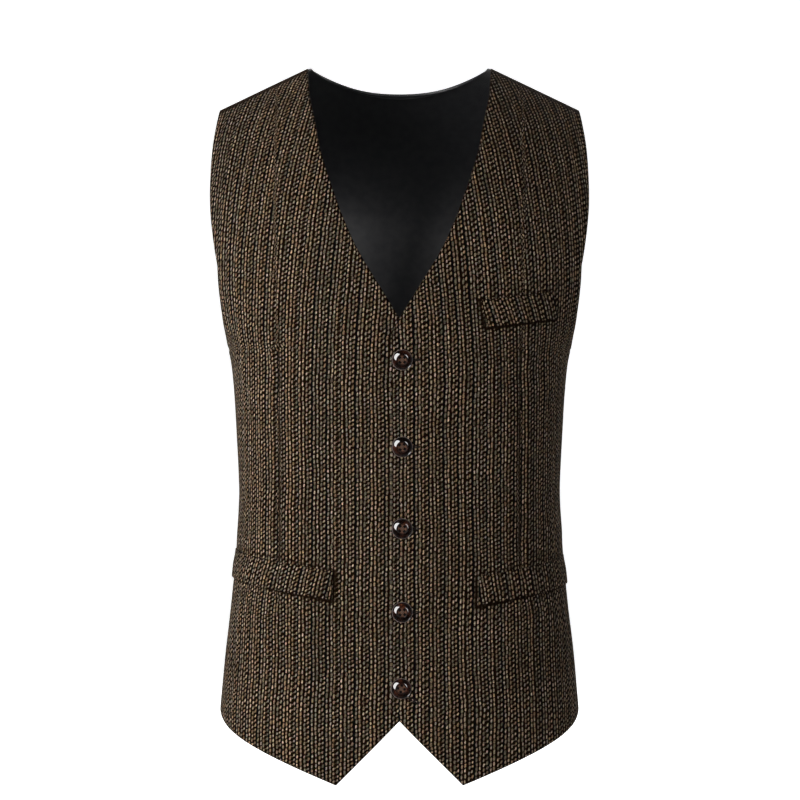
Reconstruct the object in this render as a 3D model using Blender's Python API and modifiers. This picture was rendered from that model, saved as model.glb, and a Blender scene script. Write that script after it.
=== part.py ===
# A single-breasted waistcoat with five buttons, worn and filled out. Metres, +Z up, front towards -Y.
# The origin lies midway between the neck ends of the two shoulder seams, where the wearer holds it up.
# The tables are in millimetres and the functions turn them into metres when a mesh is made.

import math

import bmesh
import bpy
import numpy as np
from mathutils import Matrix, Vector

MM = 0.001

# The worn form. Height counts down from the shoulder seam's neck end. The depths lie in front of and
# behind the side line, and a squareness of 2 is an ellipse.
FORM = (
    ("height", "half_width", "front", "back", "squareness"),
    (0, 213, 112, 108, 2.4),
    (-50, 212, 114, 112, 2.4),
    (-100, 208, 116, 115, 2.4),
    (-150, 200, 117, 115, 2.4),
    (-200, 187, 117, 112, 2.4),
    (-240, 172, 115, 108, 2.4),
    (-268, 160, 113, 105, 2.4),
    (-296, 155.5, 111, 101, 2.4),
    (-350, 152, 106, 95, 2.4),
    (-400, 150, 103, 92, 2.4),
    (-450, 152, 103, 95, 2.4),
    (-505, 157, 104, 102, 2.4),
    (-560, 163, 105, 108, 2.4),
    (-612, 168, 105, 111, 2.4),
    (-680, 172, 103, 113, 2.4),
)

# The shoulders slope down from the neck, and the form rounds over to its crest within the crown.
NECK_HALF_WIDTH = 86.0
SHOULDER_HALF_WIDTH = 170.0
SHOULDER_NECK_HEIGHT = -2.4
SHOULDER_SLOPE = 0.475
CROWN_HEIGHT = 170.0
CROWN_ROUNDNESS = 1.8

# The shoulder seam lies a little in front of the crest, so a line of the back's cloth shows there.
SHOULDER_SEAM_DROP = 1.0
TILTED_ROWS_FROM = -180.0

# The V of the front neckline, as the cloth's edge. Past the centre line the width is negative.
NECKLINE = (
    ("height", "half_width"),
    (0, 86),
    (-14, 85.2),
    (-34, 83),
    (-54, 78.5),
    (-83, 73),
    (-112, 64.3),
    (-131, 57.7),
    (-150, 50.7),
    (-178, 37.7),
    (-209, 19),
    (-240, 0),
    (-271, -19),
)

# The armhole's edge as an angle round the form, from the centre front and from the centre back.
ARMHOLE = (
    ("height", "front_angle", "back_angle"),
    (-40, 49.4, 49.4),
    (-60, 51.3, 50.0),
    (-77, 52.9, 50.5),
    (-105, 55.0, 51.5),
    (-134, 57.1, 53.0),
    (-162, 58.5, 55.0),
    (-190, 59.8, 58.0),
)
ARMHOLE_SCOOP_FROM = -190.0
UNDERARM_HEIGHT = -268.0
FRONT_SCOOP = 0.36
BACK_SCOOP = 0.30
SIDE_SEAM_ANGLE = 95.0

# The hem: an inverted V under the last button, two points, then a rise to the side seam.
HEM_NOTCH_HEIGHT = -611.5
HEM_POINT_HEIGHT = -671.0
HEM_POINT_OUT = 57.0
HEM_SIDE_HEIGHT = -597.0
HEM_BACK_HEIGHT = -597.0
HEM_ROWS_FROM = -560.0
BACK_NECK_DROP = 20.0
BACK_NECK_CURVE = 2.4
BACK_NECK_EDGE = 5.0

# The two fronts lap by the sum of their reaches past the centre line.
LAPPING_REACH = 8.0
UNDER_REACH = 14.0
LAP_FADE_FROM = 16.0
LAP_FADE_TO = 60.0

FRONT_CLOTH = 2.4
BACK_CLOTH = 1.5
SEAM_GAP = 0.4
LAP_GAP = 0.4
LAP_RISE = FRONT_CLOTH + LAP_GAP

# Columns of a front's cloth, as distances round the hem from the centre line. The dart takes three.
FRONT_COLUMNS = (3, 16, 35, 57, 76, 94, 109, 115, 121, 138, 156, 173, 189, 204, 218, 231)
DART_COLUMN = 115
DART_DEPTH = 1.4
DART_TOP = -240.0
DART_BOTTOM = -500.0
DART_FADE = 40.0

# Rows are measured round the form between these angles. Columns crowd towards the neckline and the armhole.
PLAN_FROM = -40.0
PLAN_TO = 100.0
PLAN_STEPS = 281
INNER_CROWDING = 1.5
OUTER_CROWDING = 2.0

# Small steps for finding a slope: degrees and millimetres on the form, parts of a column on the cloth.
FORM_STEP = 0.5
CLOTH_COLUMN_STEP = 0.1
CLOTH_HEIGHT_STEP = 1.0

# Rows of cloth, from the hem up.
HEM_ROWS = (0.0, 0.25, 0.5, 0.75)
FRONT_ROWS = (-560, -530, -500, -470, -440, -410, -380, -350, -322, -298, -281, -268, -266.5, -262, -254)
FRONT_ROWS += (-243, -230, -216, -199, -180)
CORNER_ROW_GAP = 2.0
CORNER_SEARCH_FROM = -200.0
CORNER_SEARCH_STEP = 0.5
BACK_ROWS = (-560, -520, -480, -440, -400, -360, -322, -290, -268, -266.5, -262, -252, -238, -220, -200, -180)
SHOULDER_ROWS = 8
BACK_NECK_COLUMNS = 6
BACK_SHOULDER_COLUMNS = 5

# Pocket welts: distances round the body from the centre line to their ends, the heights of their top
# corners, their depth, and how far their lower corners lean outwards.
WELTS = (
    ("name", "side", "inner", "outer", "inner_top", "outer_top", "depth", "lean"),
    ("chest_welt", 1, 75, 147, -223, -214, 25, 5),
    ("pocket_welt_left", 1, 73, 188, -478, -461, 27, -1),
    ("pocket_welt_right", -1, 61, 188, -473, -455, 27, 1),
)
WELT_CLOTH = 2.2
WELT_GAP = 0.4
WELT_EDGE = 0.7
WELT_EDGE_SEGMENTS = 2
WELT_ROWS = 3
WELT_END_SHARE = 0.2
SHARP_ANGLE = 50.0

# Buttons and buttonholes.
BUTTONS = (
    ("name", "height", "turn"),
    ("button_1", -278, 2),
    ("button_2", -358, 8),
    ("button_3", -434, -6),
    ("button_4", -511, 4),
    ("button_5", -577, 36),
)
BUTTON_OUT = 2.5
BUTTON_GAP = 0.4
BUTTON_STEPS = 24
BUTTON_MERGE = 0.01
BUTTON_PROFILE = (
    ("radius", "height"),
    (0.0, 1.8),
    (3.9, 1.9),
    (5.2, 2.5),
    (7.4, 3.4),
    (8.7, 3.1),
    (9.5, 2.1),
    (9.0, 0.6),
    (7.4, 0.0),
    (0.0, 0.0),
)
THREAD_HOLE_RADIUS = 1.1
THREAD_HOLE_OUT = 2.1
THREAD_HOLE_SIDES = 10
BUTTONHOLE_LENGTH = 20.0
BUTTONHOLE_WIDTH = 0.8
BUTTONHOLE_IN = 3.0
CUT_DEPTH = 20.0

COLOURS = (
    ("piece", "red", "green", "blue", "roughness"),
    ("front_left", 0.058, 0.040, 0.027, 0.9),
    ("front_right", 0.058, 0.040, 0.027, 0.9),
    ("back", 0.008, 0.008, 0.009, 0.5),
    ("welt", 0.064, 0.045, 0.030, 0.9),
    ("button", 0.060, 0.012, 0.006, 0.2),
)


def column(table, name):
    place = table[0].index(name)
    return [row[place] for row in table[1:]]


def named_rows(table):
    return [dict(zip(table[0], row)) for row in table[1:]]


def read(table, name, height):
    # A smooth curve through the table's rows, whose heights run down.
    heights = column(table, "height")
    values = column(table, name)
    last = len(heights) - 1
    height = max(min(height, heights[0]), heights[last])
    row = 0
    while row < last - 1 and height < heights[row + 1]:
        row += 1
    span = heights[row + 1] - heights[row]

    def slope(at):
        before = max(at - 1, 0)
        after = min(at + 1, last)
        return (values[after] - values[before]) / (heights[after] - heights[before])

    t = (height - heights[row]) / span
    return (
        values[row] * (1 + 2 * t) * (1 - t) ** 2
        + values[row + 1] * t * t * (3 - 2 * t)
        + span * slope(row) * t * (1 - t) ** 2
        + span * slope(row + 1) * t * t * (t - 1)
    )


def blend(value, start, end):
    t = max(0.0, min(1.0, (value - start) / (end - start)))
    return t * t * (3 - 2 * t)


def shoulder_height(out):
    # A straight slope outwards from the neck, and a shallow arch across the neck between the seams.
    if out >= NECK_HALF_WIDTH:
        return SHOULDER_NECK_HEIGHT + SHOULDER_SLOPE * (NECK_HALF_WIDTH - out)
    arch = (NECK_HALF_WIDTH ** 2 - out ** 2) / (2 * NECK_HALF_WIDTH)
    return SHOULDER_NECK_HEIGHT + SHOULDER_SLOPE * arch


def plan_point(angle, height, from_back=False):
    # The angle counts from the centre front, or from the centre back, towards the wearer's left side.
    power = 2.0 / read(FORM, "squareness", height)
    sine = math.sin(math.radians(angle))
    cosine = math.cos(math.radians(angle))
    in_front = (cosine >= 0) != from_back
    depth = read(FORM, "front" if in_front else "back", height)
    out = math.copysign(read(FORM, "half_width", height) * abs(sine) ** power, sine)
    along = (-1.0 if in_front else 1.0) * depth * abs(cosine) ** power
    return Vector((out, along, height))


def form_point(angle, height, from_back=False):
    point = plan_point(angle, height, from_back)
    below_crest = (shoulder_height(abs(point.x)) - height) / CROWN_HEIGHT
    reach = 1.0 - max(0.0, min(1.0, below_crest))
    point.y *= (1.0 - reach ** CROWN_ROUNDNESS) ** (1.0 / CROWN_ROUNDNESS)
    return point


def outward(angle, height):
    across = form_point(angle + FORM_STEP, height) - form_point(angle - FORM_STEP, height)
    upward = form_point(angle, height + FORM_STEP) - form_point(angle, height - FORM_STEP)
    return across.cross(upward).normalized()


def angle_of(out, height):
    ratio = abs(out) / read(FORM, "half_width", height)
    turn = min(1.0, ratio) ** (read(FORM, "squareness", height) / 2.0)
    return math.copysign(math.degrees(math.asin(turn)), out)


def plan_lengths(height, from_back=False):
    # Angles round the form, and the length from the centre line to each.
    angles = np.linspace(PLAN_FROM, PLAN_TO, PLAN_STEPS)
    points = np.array([plan_point(angle, height, from_back)[:] for angle in angles])
    lengths = np.concatenate([[0.0], np.cumsum(np.linalg.norm(np.diff(points, axis=0), axis=1))])
    return angles, lengths - np.interp(0.0, angles, lengths)


def row_lengths(shares, reach, start, end, height, from_back=False):
    # Columns keep their distance from the centre line, and crowd towards an edge that cuts in.
    seam = 180.0 - SIDE_SEAM_ANGLE if from_back else SIDE_SEAM_ANGLE
    angles, lengths = plan_lengths(height, from_back)
    inner, outer, whole = np.interp([start, end, seam], angles, lengths)
    shares = np.array(shares)
    spaced = shares * (whole + reach) - reach
    spaced += (inner + reach) * (1 - shares) ** INNER_CROWDING
    return spaced + (outer - whole) * shares ** OUTER_CROWDING


def row_angles(shares, reach, start, end, height, from_back=False):
    angles, lengths = plan_lengths(height, from_back)
    return np.interp(row_lengths(shares, reach, start, end, height, from_back), lengths, angles)


def armhole_angle(height, name, scoop):
    seam = SIDE_SEAM_ANGLE if name == "front_angle" else 180.0 - SIDE_SEAM_ANGLE
    if height <= UNDERARM_HEIGHT:
        return seam
    if height >= ARMHOLE_SCOOP_FROM:
        return read(ARMHOLE, name, height)
    rise = (height - UNDERARM_HEIGHT) / (ARMHOLE_SCOOP_FROM - UNDERARM_HEIGHT)
    return seam - (seam - column(ARMHOLE, name)[-1]) * rise ** scoop


def side_gap_angle(height):
    return math.degrees(0.5 * SEAM_GAP / read(FORM, "half_width", height))


def hem_height(out, hem_length):
    # The front's hem by distance round it from the centre line.
    if out < HEM_POINT_OUT:
        rise = (HEM_NOTCH_HEIGHT - HEM_POINT_HEIGHT) / HEM_POINT_OUT
        return HEM_POINT_HEIGHT + rise * (HEM_POINT_OUT - out)
    t = (out - HEM_POINT_OUT) / (hem_length - HEM_POINT_OUT)
    return HEM_POINT_HEIGHT + (HEM_SIDE_HEIGHT - HEM_POINT_HEIGHT) * t


def corner_height(reach):
    # Where the neckline meets the straight front edge.
    height = CORNER_SEARCH_FROM
    while read(NECKLINE, "half_width", height) > -reach:
        height -= CORNER_SEARCH_STEP
    return height


def crown_share(step):
    # How far the rows over the shoulder have climbed, so that they crowd together towards the crest.
    turn = math.cos(math.radians(90.0 * (1 - step / SHOULDER_ROWS)))
    return turn ** (2.0 / CROWN_ROUNDNESS)


def front_row(heights, level, reach, shares):
    # One row of a front's inner face from the neckline or the front edge to the armhole or the side seam.
    inner = heights[0] if level is None else level
    outer = heights[-1] if level is None else level
    start = angle_of(max(read(NECKLINE, "half_width", inner), -reach), inner)
    end = armhole_angle(outer, "front_angle", FRONT_SCOOP) - side_gap_angle(outer)
    return row_angles(shares, reach, start, end, 0.5 * (inner + outer))


def front_points(reach, rise):
    # The inner face of the front on the wearer's left, row by row from the hem up.
    angles, lengths = plan_lengths(HEM_SIDE_HEIGHT)
    hem_length = np.interp(SIDE_SEAM_ANGLE, angles, lengths)
    outs = [-reach] + list(FRONT_COLUMNS) + [hem_length]
    shares = [(out + reach) / (hem_length + reach) for out in outs]
    rows = []
    for share in HEM_ROWS:
        heights = [hem_height(out, hem_length) * (1 - share) + HEM_ROWS_FROM * share for out in outs]
        rows.append((heights, HEM_SIDE_HEIGHT * (1 - share) + HEM_ROWS_FROM * share))
    corner = corner_height(reach)
    levels = [height for height in FRONT_ROWS if abs(height - corner) > CORNER_ROW_GAP] + [corner]
    for height in sorted(levels):
        rows.append(([height] * len(outs), height))
    seam_ends = [shoulder_height(out) for out in (NECK_HALF_WIDTH, SHOULDER_HALF_WIDTH)]
    seam = front_row(seam_ends, None, reach, shares)
    seam_height = 0.5 * sum(seam_ends)
    tops = [shoulder_height(plan_point(angle, seam_height).x) - SHOULDER_SEAM_DROP for angle in seam]
    for step in range(1, SHOULDER_ROWS + 1):
        share = crown_share(step)
        rows.append(([TILTED_ROWS_FROM * (1 - share) + top * share for top in tops], None))
    points = []
    dart = FRONT_COLUMNS.index(DART_COLUMN) + 1
    for heights, level in rows:
        angles = front_row(heights, level, reach, shares)
        row = [form_point(angle, height) for angle, height in zip(angles, heights)]
        for point in row:
            point.y -= rise * (1 - blend(point.x, LAP_FADE_FROM, LAP_FADE_TO))
        fold = DART_DEPTH * blend(heights[dart], DART_TOP, DART_TOP - DART_FADE)
        fold *= blend(heights[dart], DART_BOTTOM, DART_BOTTOM + DART_FADE)
        row[dart] -= outward(angles[dart], heights[dart]) * fold
        points.append(row)
    return points


def back_neck_height(out):
    return -BACK_NECK_DROP * (1 - (out / NECK_HALF_WIDTH) ** BACK_NECK_CURVE)


def back_points():
    # The inner face of the back from side to side. Its last row runs round the neck and over the crest.
    seam_end = armhole_angle(shoulder_height(SHOULDER_HALF_WIDTH), "back_angle", BACK_SCOOP)
    seam_height = 0.5 * shoulder_height(SHOULDER_HALF_WIDTH)
    tries = np.linspace(0.0, 1.0, PLAN_STEPS)
    seam_angles = row_angles(tries, 0.0, 0.0, seam_end, seam_height, from_back=True)
    neck = np.interp(angle_of(NECK_HALF_WIDTH, seam_height), seam_angles, tries)
    shares = list(np.linspace(0.0, neck, BACK_NECK_COLUMNS + 1))
    shares += list(np.linspace(neck, 1.0, BACK_SHOULDER_COLUMNS + 1))[1:]
    tops = []
    for place, angle in enumerate(row_angles(shares, 0.0, 0.0, seam_end, seam_height, from_back=True)):
        out = plan_point(angle, seam_height).x
        tops.append(back_neck_height(out) if place < BACK_NECK_COLUMNS else shoulder_height(out))
    rows = [[height] * len(shares) for height in (HEM_BACK_HEIGHT,) + BACK_ROWS]
    for step in range(1, SHOULDER_ROWS + 1):
        share = crown_share(step)
        rows.append([TILTED_ROWS_FROM * (1 - share) + top * share for top in tops])
    points = []
    for heights in rows:
        end = armhole_angle(heights[-1], "back_angle", BACK_SCOOP) - side_gap_angle(heights[-1])
        middle = 0.5 * (heights[BACK_NECK_COLUMNS] + heights[-1])
        angles = row_angles(shares, 0.0, 0.0, end, middle, from_back=True)
        points.append([form_point(angle, height, from_back=True) for angle, height in zip(angles, heights)])
    over_crest = []
    for place, point in enumerate(points[-1]):
        if place < BACK_NECK_COLUMNS:
            over_crest.append(point.copy())
            point.z -= BACK_NECK_EDGE * (1 - place / BACK_NECK_COLUMNS)
        else:
            point.y = 0.0
            point.z = shoulder_height(point.x)
            seam_height = point.z - SHOULDER_SEAM_DROP
            seam = form_point(angle_of(point.x, seam_height), seam_height)
            over_crest.append(seam + Vector((0.0, SEAM_GAP, 0.0)))
    points.append(over_crest)
    return [[Vector((-point.x, point.y, point.z)) for point in reversed(row[1:])] + row for row in points]


def cloth_place(points, column_at, height):
    # A point on a front's inner face at a column, which may be between two, and a height.
    row = next(row for row in range(1, len(points)) if points[row][0].z >= height)
    low = points[row - 1]
    high = points[row]
    up = (height - low[0].z) / (high[0].z - low[0].z)
    left = min(int(column_at), len(low) - 2)
    along = column_at - left
    return low[left].lerp(low[left + 1], along).lerp(high[left].lerp(high[left + 1], along), up)


def cloth_normal(points, column_at, height):
    left, right = column_at - CLOTH_COLUMN_STEP, column_at + CLOTH_COLUMN_STEP
    below, above = height - CLOTH_HEIGHT_STEP, height + CLOTH_HEIGHT_STEP
    across = cloth_place(points, right, height) - cloth_place(points, left, height)
    upward = cloth_place(points, column_at, above) - cloth_place(points, column_at, below)
    return across.cross(upward).normalized()


def column_near(points, out, height):
    # The column at a distance round the body from the centre line.
    places = [cloth_place(points, place, height) for place in range(len(points[0]))]
    length = places[0].x
    for place in range(len(places) - 1):
        span = (places[place + 1] - places[place]).length
        if length + span > out:
            return place + (out - length) / span
        length += span
    return len(places) - 1.0


def welt_points(points, welt):
    # A welt's inner face, on the columns of the front that it lies on and moved out from it.
    edges = []
    for step in range(WELT_ROWS + 1):
        down = 1 - step / WELT_ROWS
        inner_height = welt["inner_top"] - welt["depth"] * down
        outer_height = welt["outer_top"] - welt["depth"] * down
        first = column_near(points, welt["inner"] + welt["lean"] * down, inner_height)
        last = column_near(points, welt["outer"] + welt["lean"] * down, outer_height)
        edges.append((first, last, inner_height, outer_height))
    start = max(edge[0] for edge in edges) + WELT_END_SHARE
    end = min(edge[1] for edge in edges) - WELT_END_SHARE
    shared = [place for place in range(len(points[0])) if start < place < end]
    rows = []
    for first, last, inner_height, outer_height in edges:
        row = []
        for place in [first] + shared + [last]:
            height = inner_height + (outer_height - inner_height) * (place - first) / (last - first)
            lift = cloth_normal(points, place, height) * (FRONT_CLOTH + WELT_GAP)
            row.append(cloth_place(points, place, height) + lift)
        rows.append(row)
    return rows


def mirrored(points):
    return [[Vector((-point.x, point.y, point.z)) for point in reversed(row)] for row in points]


def make_material(name, piece):
    row = next(row for row in COLOURS[1:] if row[0] == piece)
    material = bpy.data.materials.new(name)
    material.use_nodes = True
    shader = material.node_tree.nodes["Principled BSDF"]
    shader.inputs["Base Color"].default_value = (row[1], row[2], row[3], 1.0)
    shader.inputs["Roughness"].default_value = row[4]
    shader.inputs["Metallic"].default_value = 0.0
    return material


def add_object(name, mesh, collection, piece):
    body = bpy.data.objects.new(name, mesh)
    collection.objects.link(body)
    mesh.materials.clear()
    mesh.materials.append(make_material(name, piece))
    return body


def sheet(name, points, thickness, collection, piece):
    # A grid of cloth moved to its points, then thickened outwards.
    columns = len(points[0])
    mesh = bpy.data.meshes.new(name)
    grid = bmesh.new()
    bmesh.ops.create_grid(grid, x_segments=columns - 1, y_segments=len(points) - 1, size=1.0)
    for index, vertex in enumerate(grid.verts):
        vertex.co = points[index // columns][index % columns] * MM
    grid.to_mesh(mesh)
    grid.free()
    mesh.shade_smooth()
    body = add_object(name, mesh, collection, piece)
    solidify = body.modifiers.new("cloth", "SOLIDIFY")
    solidify.thickness = thickness * MM
    solidify.offset = 1.0
    solidify.use_even_offset = True
    return body


def hide_cutter(cutter):
    cutter.hide_render = True
    cutter.display_type = "WIRE"


def add_cut(body, cutter, name):
    cut = body.modifiers.new(name, "BOOLEAN")
    cut.operation = "DIFFERENCE"
    cut.solver = "EXACT"
    cut.object = cutter


def button_mesh(cutters):
    # A turned disc with a raised rim and a dished middle, pierced by four thread holes.
    profile = bpy.data.meshes.new("button_profile")
    corners = [(radius * MM, 0.0, height * MM) for radius, height in BUTTON_PROFILE[1:]]
    profile.from_pydata(corners, [(place, place + 1) for place in range(len(corners) - 1)], [])
    turned = bpy.data.objects.new("turned_button", profile)
    cutters.objects.link(turned)
    hide_cutter(turned)
    screw = turned.modifiers.new("turn", "SCREW")
    screw.steps = BUTTON_STEPS
    screw.render_steps = BUTTON_STEPS
    screw.use_merge_vertices = True
    screw.merge_threshold = BUTTON_MERGE * MM
    holes = bmesh.new()
    for across in (-1, 1):
        for up in (-1, 1):
            place = Matrix.Translation((across * THREAD_HOLE_OUT * MM, up * THREAD_HOLE_OUT * MM, 0.0))
            bmesh.ops.create_cone(
                holes,
                cap_ends=True,
                segments=THREAD_HOLE_SIDES,
                radius1=THREAD_HOLE_RADIUS * MM,
                radius2=THREAD_HOLE_RADIUS * MM,
                depth=CUT_DEPTH * MM,
                matrix=place,
            )
    hole_mesh = bpy.data.meshes.new("thread_holes")
    holes.to_mesh(hole_mesh)
    holes.free()
    cutter = bpy.data.objects.new("thread_holes", hole_mesh)
    cutters.objects.link(cutter)
    hide_cutter(cutter)
    add_cut(turned, cutter, "thread_holes")
    graph = bpy.context.evaluated_depsgraph_get()
    pierced = bpy.data.meshes.new_from_object(turned.evaluated_get(graph))
    pierced.shade_smooth()
    pierced.set_sharp_from_angle(angle=math.radians(SHARP_ANGLE))
    bpy.data.objects.remove(turned)
    return pierced


def button_place(points, button):
    # A button's back lies just off the cloth, and its axis points straight out of it.
    column_at = column_near(points, BUTTON_OUT, button["height"])
    normal = cloth_normal(points, column_at, button["height"])
    middle = cloth_place(points, column_at, button["height"]) + normal * (FRONT_CLOTH + BUTTON_GAP)
    turn = Matrix.Rotation(math.radians(button["turn"]), 4, "Z")
    return Matrix.Translation(middle * MM) @ normal.to_track_quat("Z", "Y").to_matrix().to_4x4() @ turn


def buttonhole_cutter(points, cutters):
    slots = bmesh.new()
    for button in named_rows(BUTTONS):
        place = button_place(points, dict(button, turn=0))
        middle = place @ Vector(((0.5 * BUTTONHOLE_LENGTH - BUTTONHOLE_IN) * MM, 0.0, 0.0))
        size = Matrix.Diagonal((BUTTONHOLE_LENGTH * MM, CUT_DEPTH * MM, BUTTONHOLE_WIDTH * MM, 1.0))
        bmesh.ops.create_cube(slots, size=1.0, matrix=Matrix.Translation(middle) @ size)
    mesh = bpy.data.meshes.new("buttonholes")
    slots.to_mesh(mesh)
    slots.free()
    cutter = bpy.data.objects.new("buttonholes", mesh)
    cutters.objects.link(cutter)
    hide_cutter(cutter)
    return cutter


def build():
    for old in list(bpy.data.objects):
        bpy.data.objects.remove(old, do_unlink=True)
    collection = bpy.data.collections.new("waistcoat")
    cutters = bpy.data.collections.new("cutters")
    bpy.context.scene.collection.children.link(collection)
    bpy.context.scene.collection.children.link(cutters)

    lapping = front_points(LAPPING_REACH, LAP_RISE)
    under = front_points(UNDER_REACH, 0.0)
    front_left = sheet("front_left", lapping, FRONT_CLOTH, collection, "front_left")
    sheet("front_right", mirrored(under), FRONT_CLOTH, collection, "front_right")
    sheet("back", [list(reversed(row)) for row in back_points()], BACK_CLOTH, collection, "back")
    add_cut(front_left, buttonhole_cutter(lapping, cutters), "buttonholes")

    for welt in named_rows(WELTS):
        points = welt_points(lapping if welt["side"] > 0 else under, welt)
        points = points if welt["side"] > 0 else mirrored(points)
        strip = sheet(welt["name"], points, WELT_CLOTH, collection, "welt")
        edge = strip.modifiers.new("edge", "BEVEL")
        edge.width = WELT_EDGE * MM
        edge.segments = WELT_EDGE_SEGMENTS
        edge.limit_method = "ANGLE"
        edge.angle_limit = math.radians(SHARP_ANGLE)

    turned = button_mesh(cutters)
    for button in named_rows(BUTTONS):
        body = add_object(button["name"], turned.copy(), collection, "button")
        body.matrix_world = button_place(lapping, button)


build()
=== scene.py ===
# A worn tweed waistcoat with five buttons, a chest pocket and two lower pockets.
# The cloth's tables are in millimetres and degrees, and a mesh is turned into metres when it is made.
import math

import bpy
import numpy as np
from mathutils import Matrix, Vector


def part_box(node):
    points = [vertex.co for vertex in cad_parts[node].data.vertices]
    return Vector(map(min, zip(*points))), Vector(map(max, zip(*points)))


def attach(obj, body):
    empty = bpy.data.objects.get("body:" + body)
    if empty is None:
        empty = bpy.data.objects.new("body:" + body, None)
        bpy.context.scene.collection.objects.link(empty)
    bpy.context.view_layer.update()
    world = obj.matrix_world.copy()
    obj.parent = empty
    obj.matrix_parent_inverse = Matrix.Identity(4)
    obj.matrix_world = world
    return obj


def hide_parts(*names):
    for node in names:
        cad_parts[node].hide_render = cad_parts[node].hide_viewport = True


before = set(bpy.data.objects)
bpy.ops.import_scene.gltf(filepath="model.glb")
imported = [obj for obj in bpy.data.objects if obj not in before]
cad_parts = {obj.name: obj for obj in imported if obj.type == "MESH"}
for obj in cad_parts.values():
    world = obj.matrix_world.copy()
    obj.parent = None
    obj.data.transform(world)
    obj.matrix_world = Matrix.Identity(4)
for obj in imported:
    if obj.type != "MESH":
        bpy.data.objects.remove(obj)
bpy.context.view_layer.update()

mm = 0.001
print("model loaded")

# the worn form that the cloth lies on
bodyForm = {
    # height, half width, depth in front, depth behind
    "rows": [
        (0, 213, 112, 108), (-50, 212, 114, 112), (-100, 208, 116, 115), (-150, 200, 117, 115),
        (-200, 187, 117, 112), (-240, 172, 115, 108), (-268, 160, 113, 105), (-296, 155.5, 111, 101),
        (-350, 152, 106, 95), (-400, 150, 103, 92), (-450, 152, 103, 95), (-505, 157, 104, 102),
        (-560, 163, 105, 108), (-612, 168, 105, 111), (-680, 172, 103, 113),
    ],
    "squareness": 2.4,  # 2 would be an ellipse
    "neckHalfWidth": 86,
    "shoulderHalfWidth": 170,
    "shoulderTop": -2.4,
    "shoulderSlope": 0.475,
    "crownHeight": 170,
    "crownRoundness": 1.8,
    "seamDrop": 1.0,
    "tiltedFrom": -180,  # above this height the rows of cloth tilt with the shoulder seam
    "readingStep": 0.5,
    "measuredAngles": (-40, 100),  # lengths round the body are measured between these
    "measuredPlaces": 281,
}

frontCut = {
    # height, then how far out from the centre line
    "neckline": [
        (0, 86), (-14, 85.2), (-34, 83), (-54, 78.5), (-83, 73), (-112, 64.3), (-131, 57.7),
        (-150, 50.7), (-178, 37.7), (-209, 19), (-240, 0), (-271, -19),
    ],
    # height, then the edge's angle from the centre front and from the centre back
    "armhole": [
        (-40, 49.4, 49.4), (-60, 51.3, 50), (-77, 52.9, 50.5), (-105, 55, 51.5), (-134, 57.1, 53),
        (-162, 58.5, 55), (-190, 59.8, 58),
    ],
    "scoopFrom": -190,
    "underarm": -268,
    "frontScoop": 0.36,
    "backScoop": 0.30,
    "sideSeamAngle": 95,
    "columns": [3, 16, 35, 57, 76, 94, 109, 115, 121, 138, 156, 173, 189, 204, 218, 231],
    "dartColumn": 115,
    "dartDepth": 1.4,
    "dartReach": 7.0,  # how far the dart's hollow spreads to each side
    "dartRoundness": 1.5,
    "dartTop": -240,
    "dartBottom": -500,
    "dartFade": 40,
    "innerCrowding": 1.5,  # how closely the columns keep to an edge that cuts in
    "outerCrowding": 2.0,
    "hemNotch": -611.5,
    "hemPoint": -671,
    "hemPointOut": 57,
    "hemSide": -597,
    "hemRowsFrom": -560,
    "lappingReach": 8,  # how far the left front passes the centre line
    "underReach": 14,  # and the right one under it
    "lapRise": 2.8,
    "lapFade": (16, 60),
    "cloth": 2.4,
    "seamGap": 0.06,
    "fineness": 4,  # columns of the mesh for each column of the cut
    "rowStep": 5.0,
    "cornerClear": 2,  # no other row lies as near as this to the neckline's lowest corner
    "hemRows": 16,
    "crownRows": 30,
}

backCut = {
    "neckDrop": 20,
    "neckCurve": 2.4,
    "neckEdge": 5,
    "hem": -597,
    "cloth": 1.5,
    "neckColumns": 30,
    "shoulderColumns": 22,
    "rowStep": 4.0,
    "crownRows": 26,
}


def smoothValues(rows, column, heights):
    # a smooth curve through a table's rows, whose heights run down
    tableHeights = [row[0] for row in rows]
    values = [row[column] for row in rows]
    last = len(rows) - 1

    def slope(at):
        before = max(at - 1, 0)
        after = min(at + 1, last)
        return (values[after] - values[before]) / (tableHeights[after] - tableHeights[before])

    result = []
    for height in heights:
        height = max(min(height, tableHeights[0]), tableHeights[last])
        row = 0
        while row < last - 1 and height < tableHeights[row + 1]:
            row += 1
        span = tableHeights[row + 1] - tableHeights[row]
        t = (height - tableHeights[row]) / span
        result.append(
            values[row] * (1 + 2 * t) * (1 - t) ** 2
            + values[row + 1] * t * t * (3 - 2 * t)
            + span * slope(row) * t * (1 - t) ** 2
            + span * slope(row + 1) * t * t * (t - 1)
        )
    return np.array(result)


# the tables are read once, at close steps down from the top
readingDepths = np.arange(0.0, 1.0 - bodyForm["rows"][-1][0], bodyForm["readingStep"])
readTables = {
    name: smoothValues(rows, column, -readingDepths)
    for name, rows, column in (
        ("halfWidth", bodyForm["rows"], 1),
        ("front", bodyForm["rows"], 2),
        ("back", bodyForm["rows"], 3),
        ("neckline", frontCut["neckline"], 1),
        ("frontAngle", frontCut["armhole"], 1),
        ("backAngle", frontCut["armhole"], 2),
    )
}


def read(name, height):
    return np.interp(-np.asarray(height, dtype=float), readingDepths, readTables[name])


def blend(value, start, end):
    t = np.clip((np.asarray(value, dtype=float) - start) / (end - start), 0.0, 1.0)
    return t * t * (3 - 2 * t)


def shoulderHeight(out):
    out = np.abs(np.asarray(out, dtype=float))
    neck = bodyForm["neckHalfWidth"]
    arch = np.where(out < neck, (neck ** 2 - out ** 2) / (2 * neck), neck - out)
    return bodyForm["shoulderTop"] + bodyForm["shoulderSlope"] * arch


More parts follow.
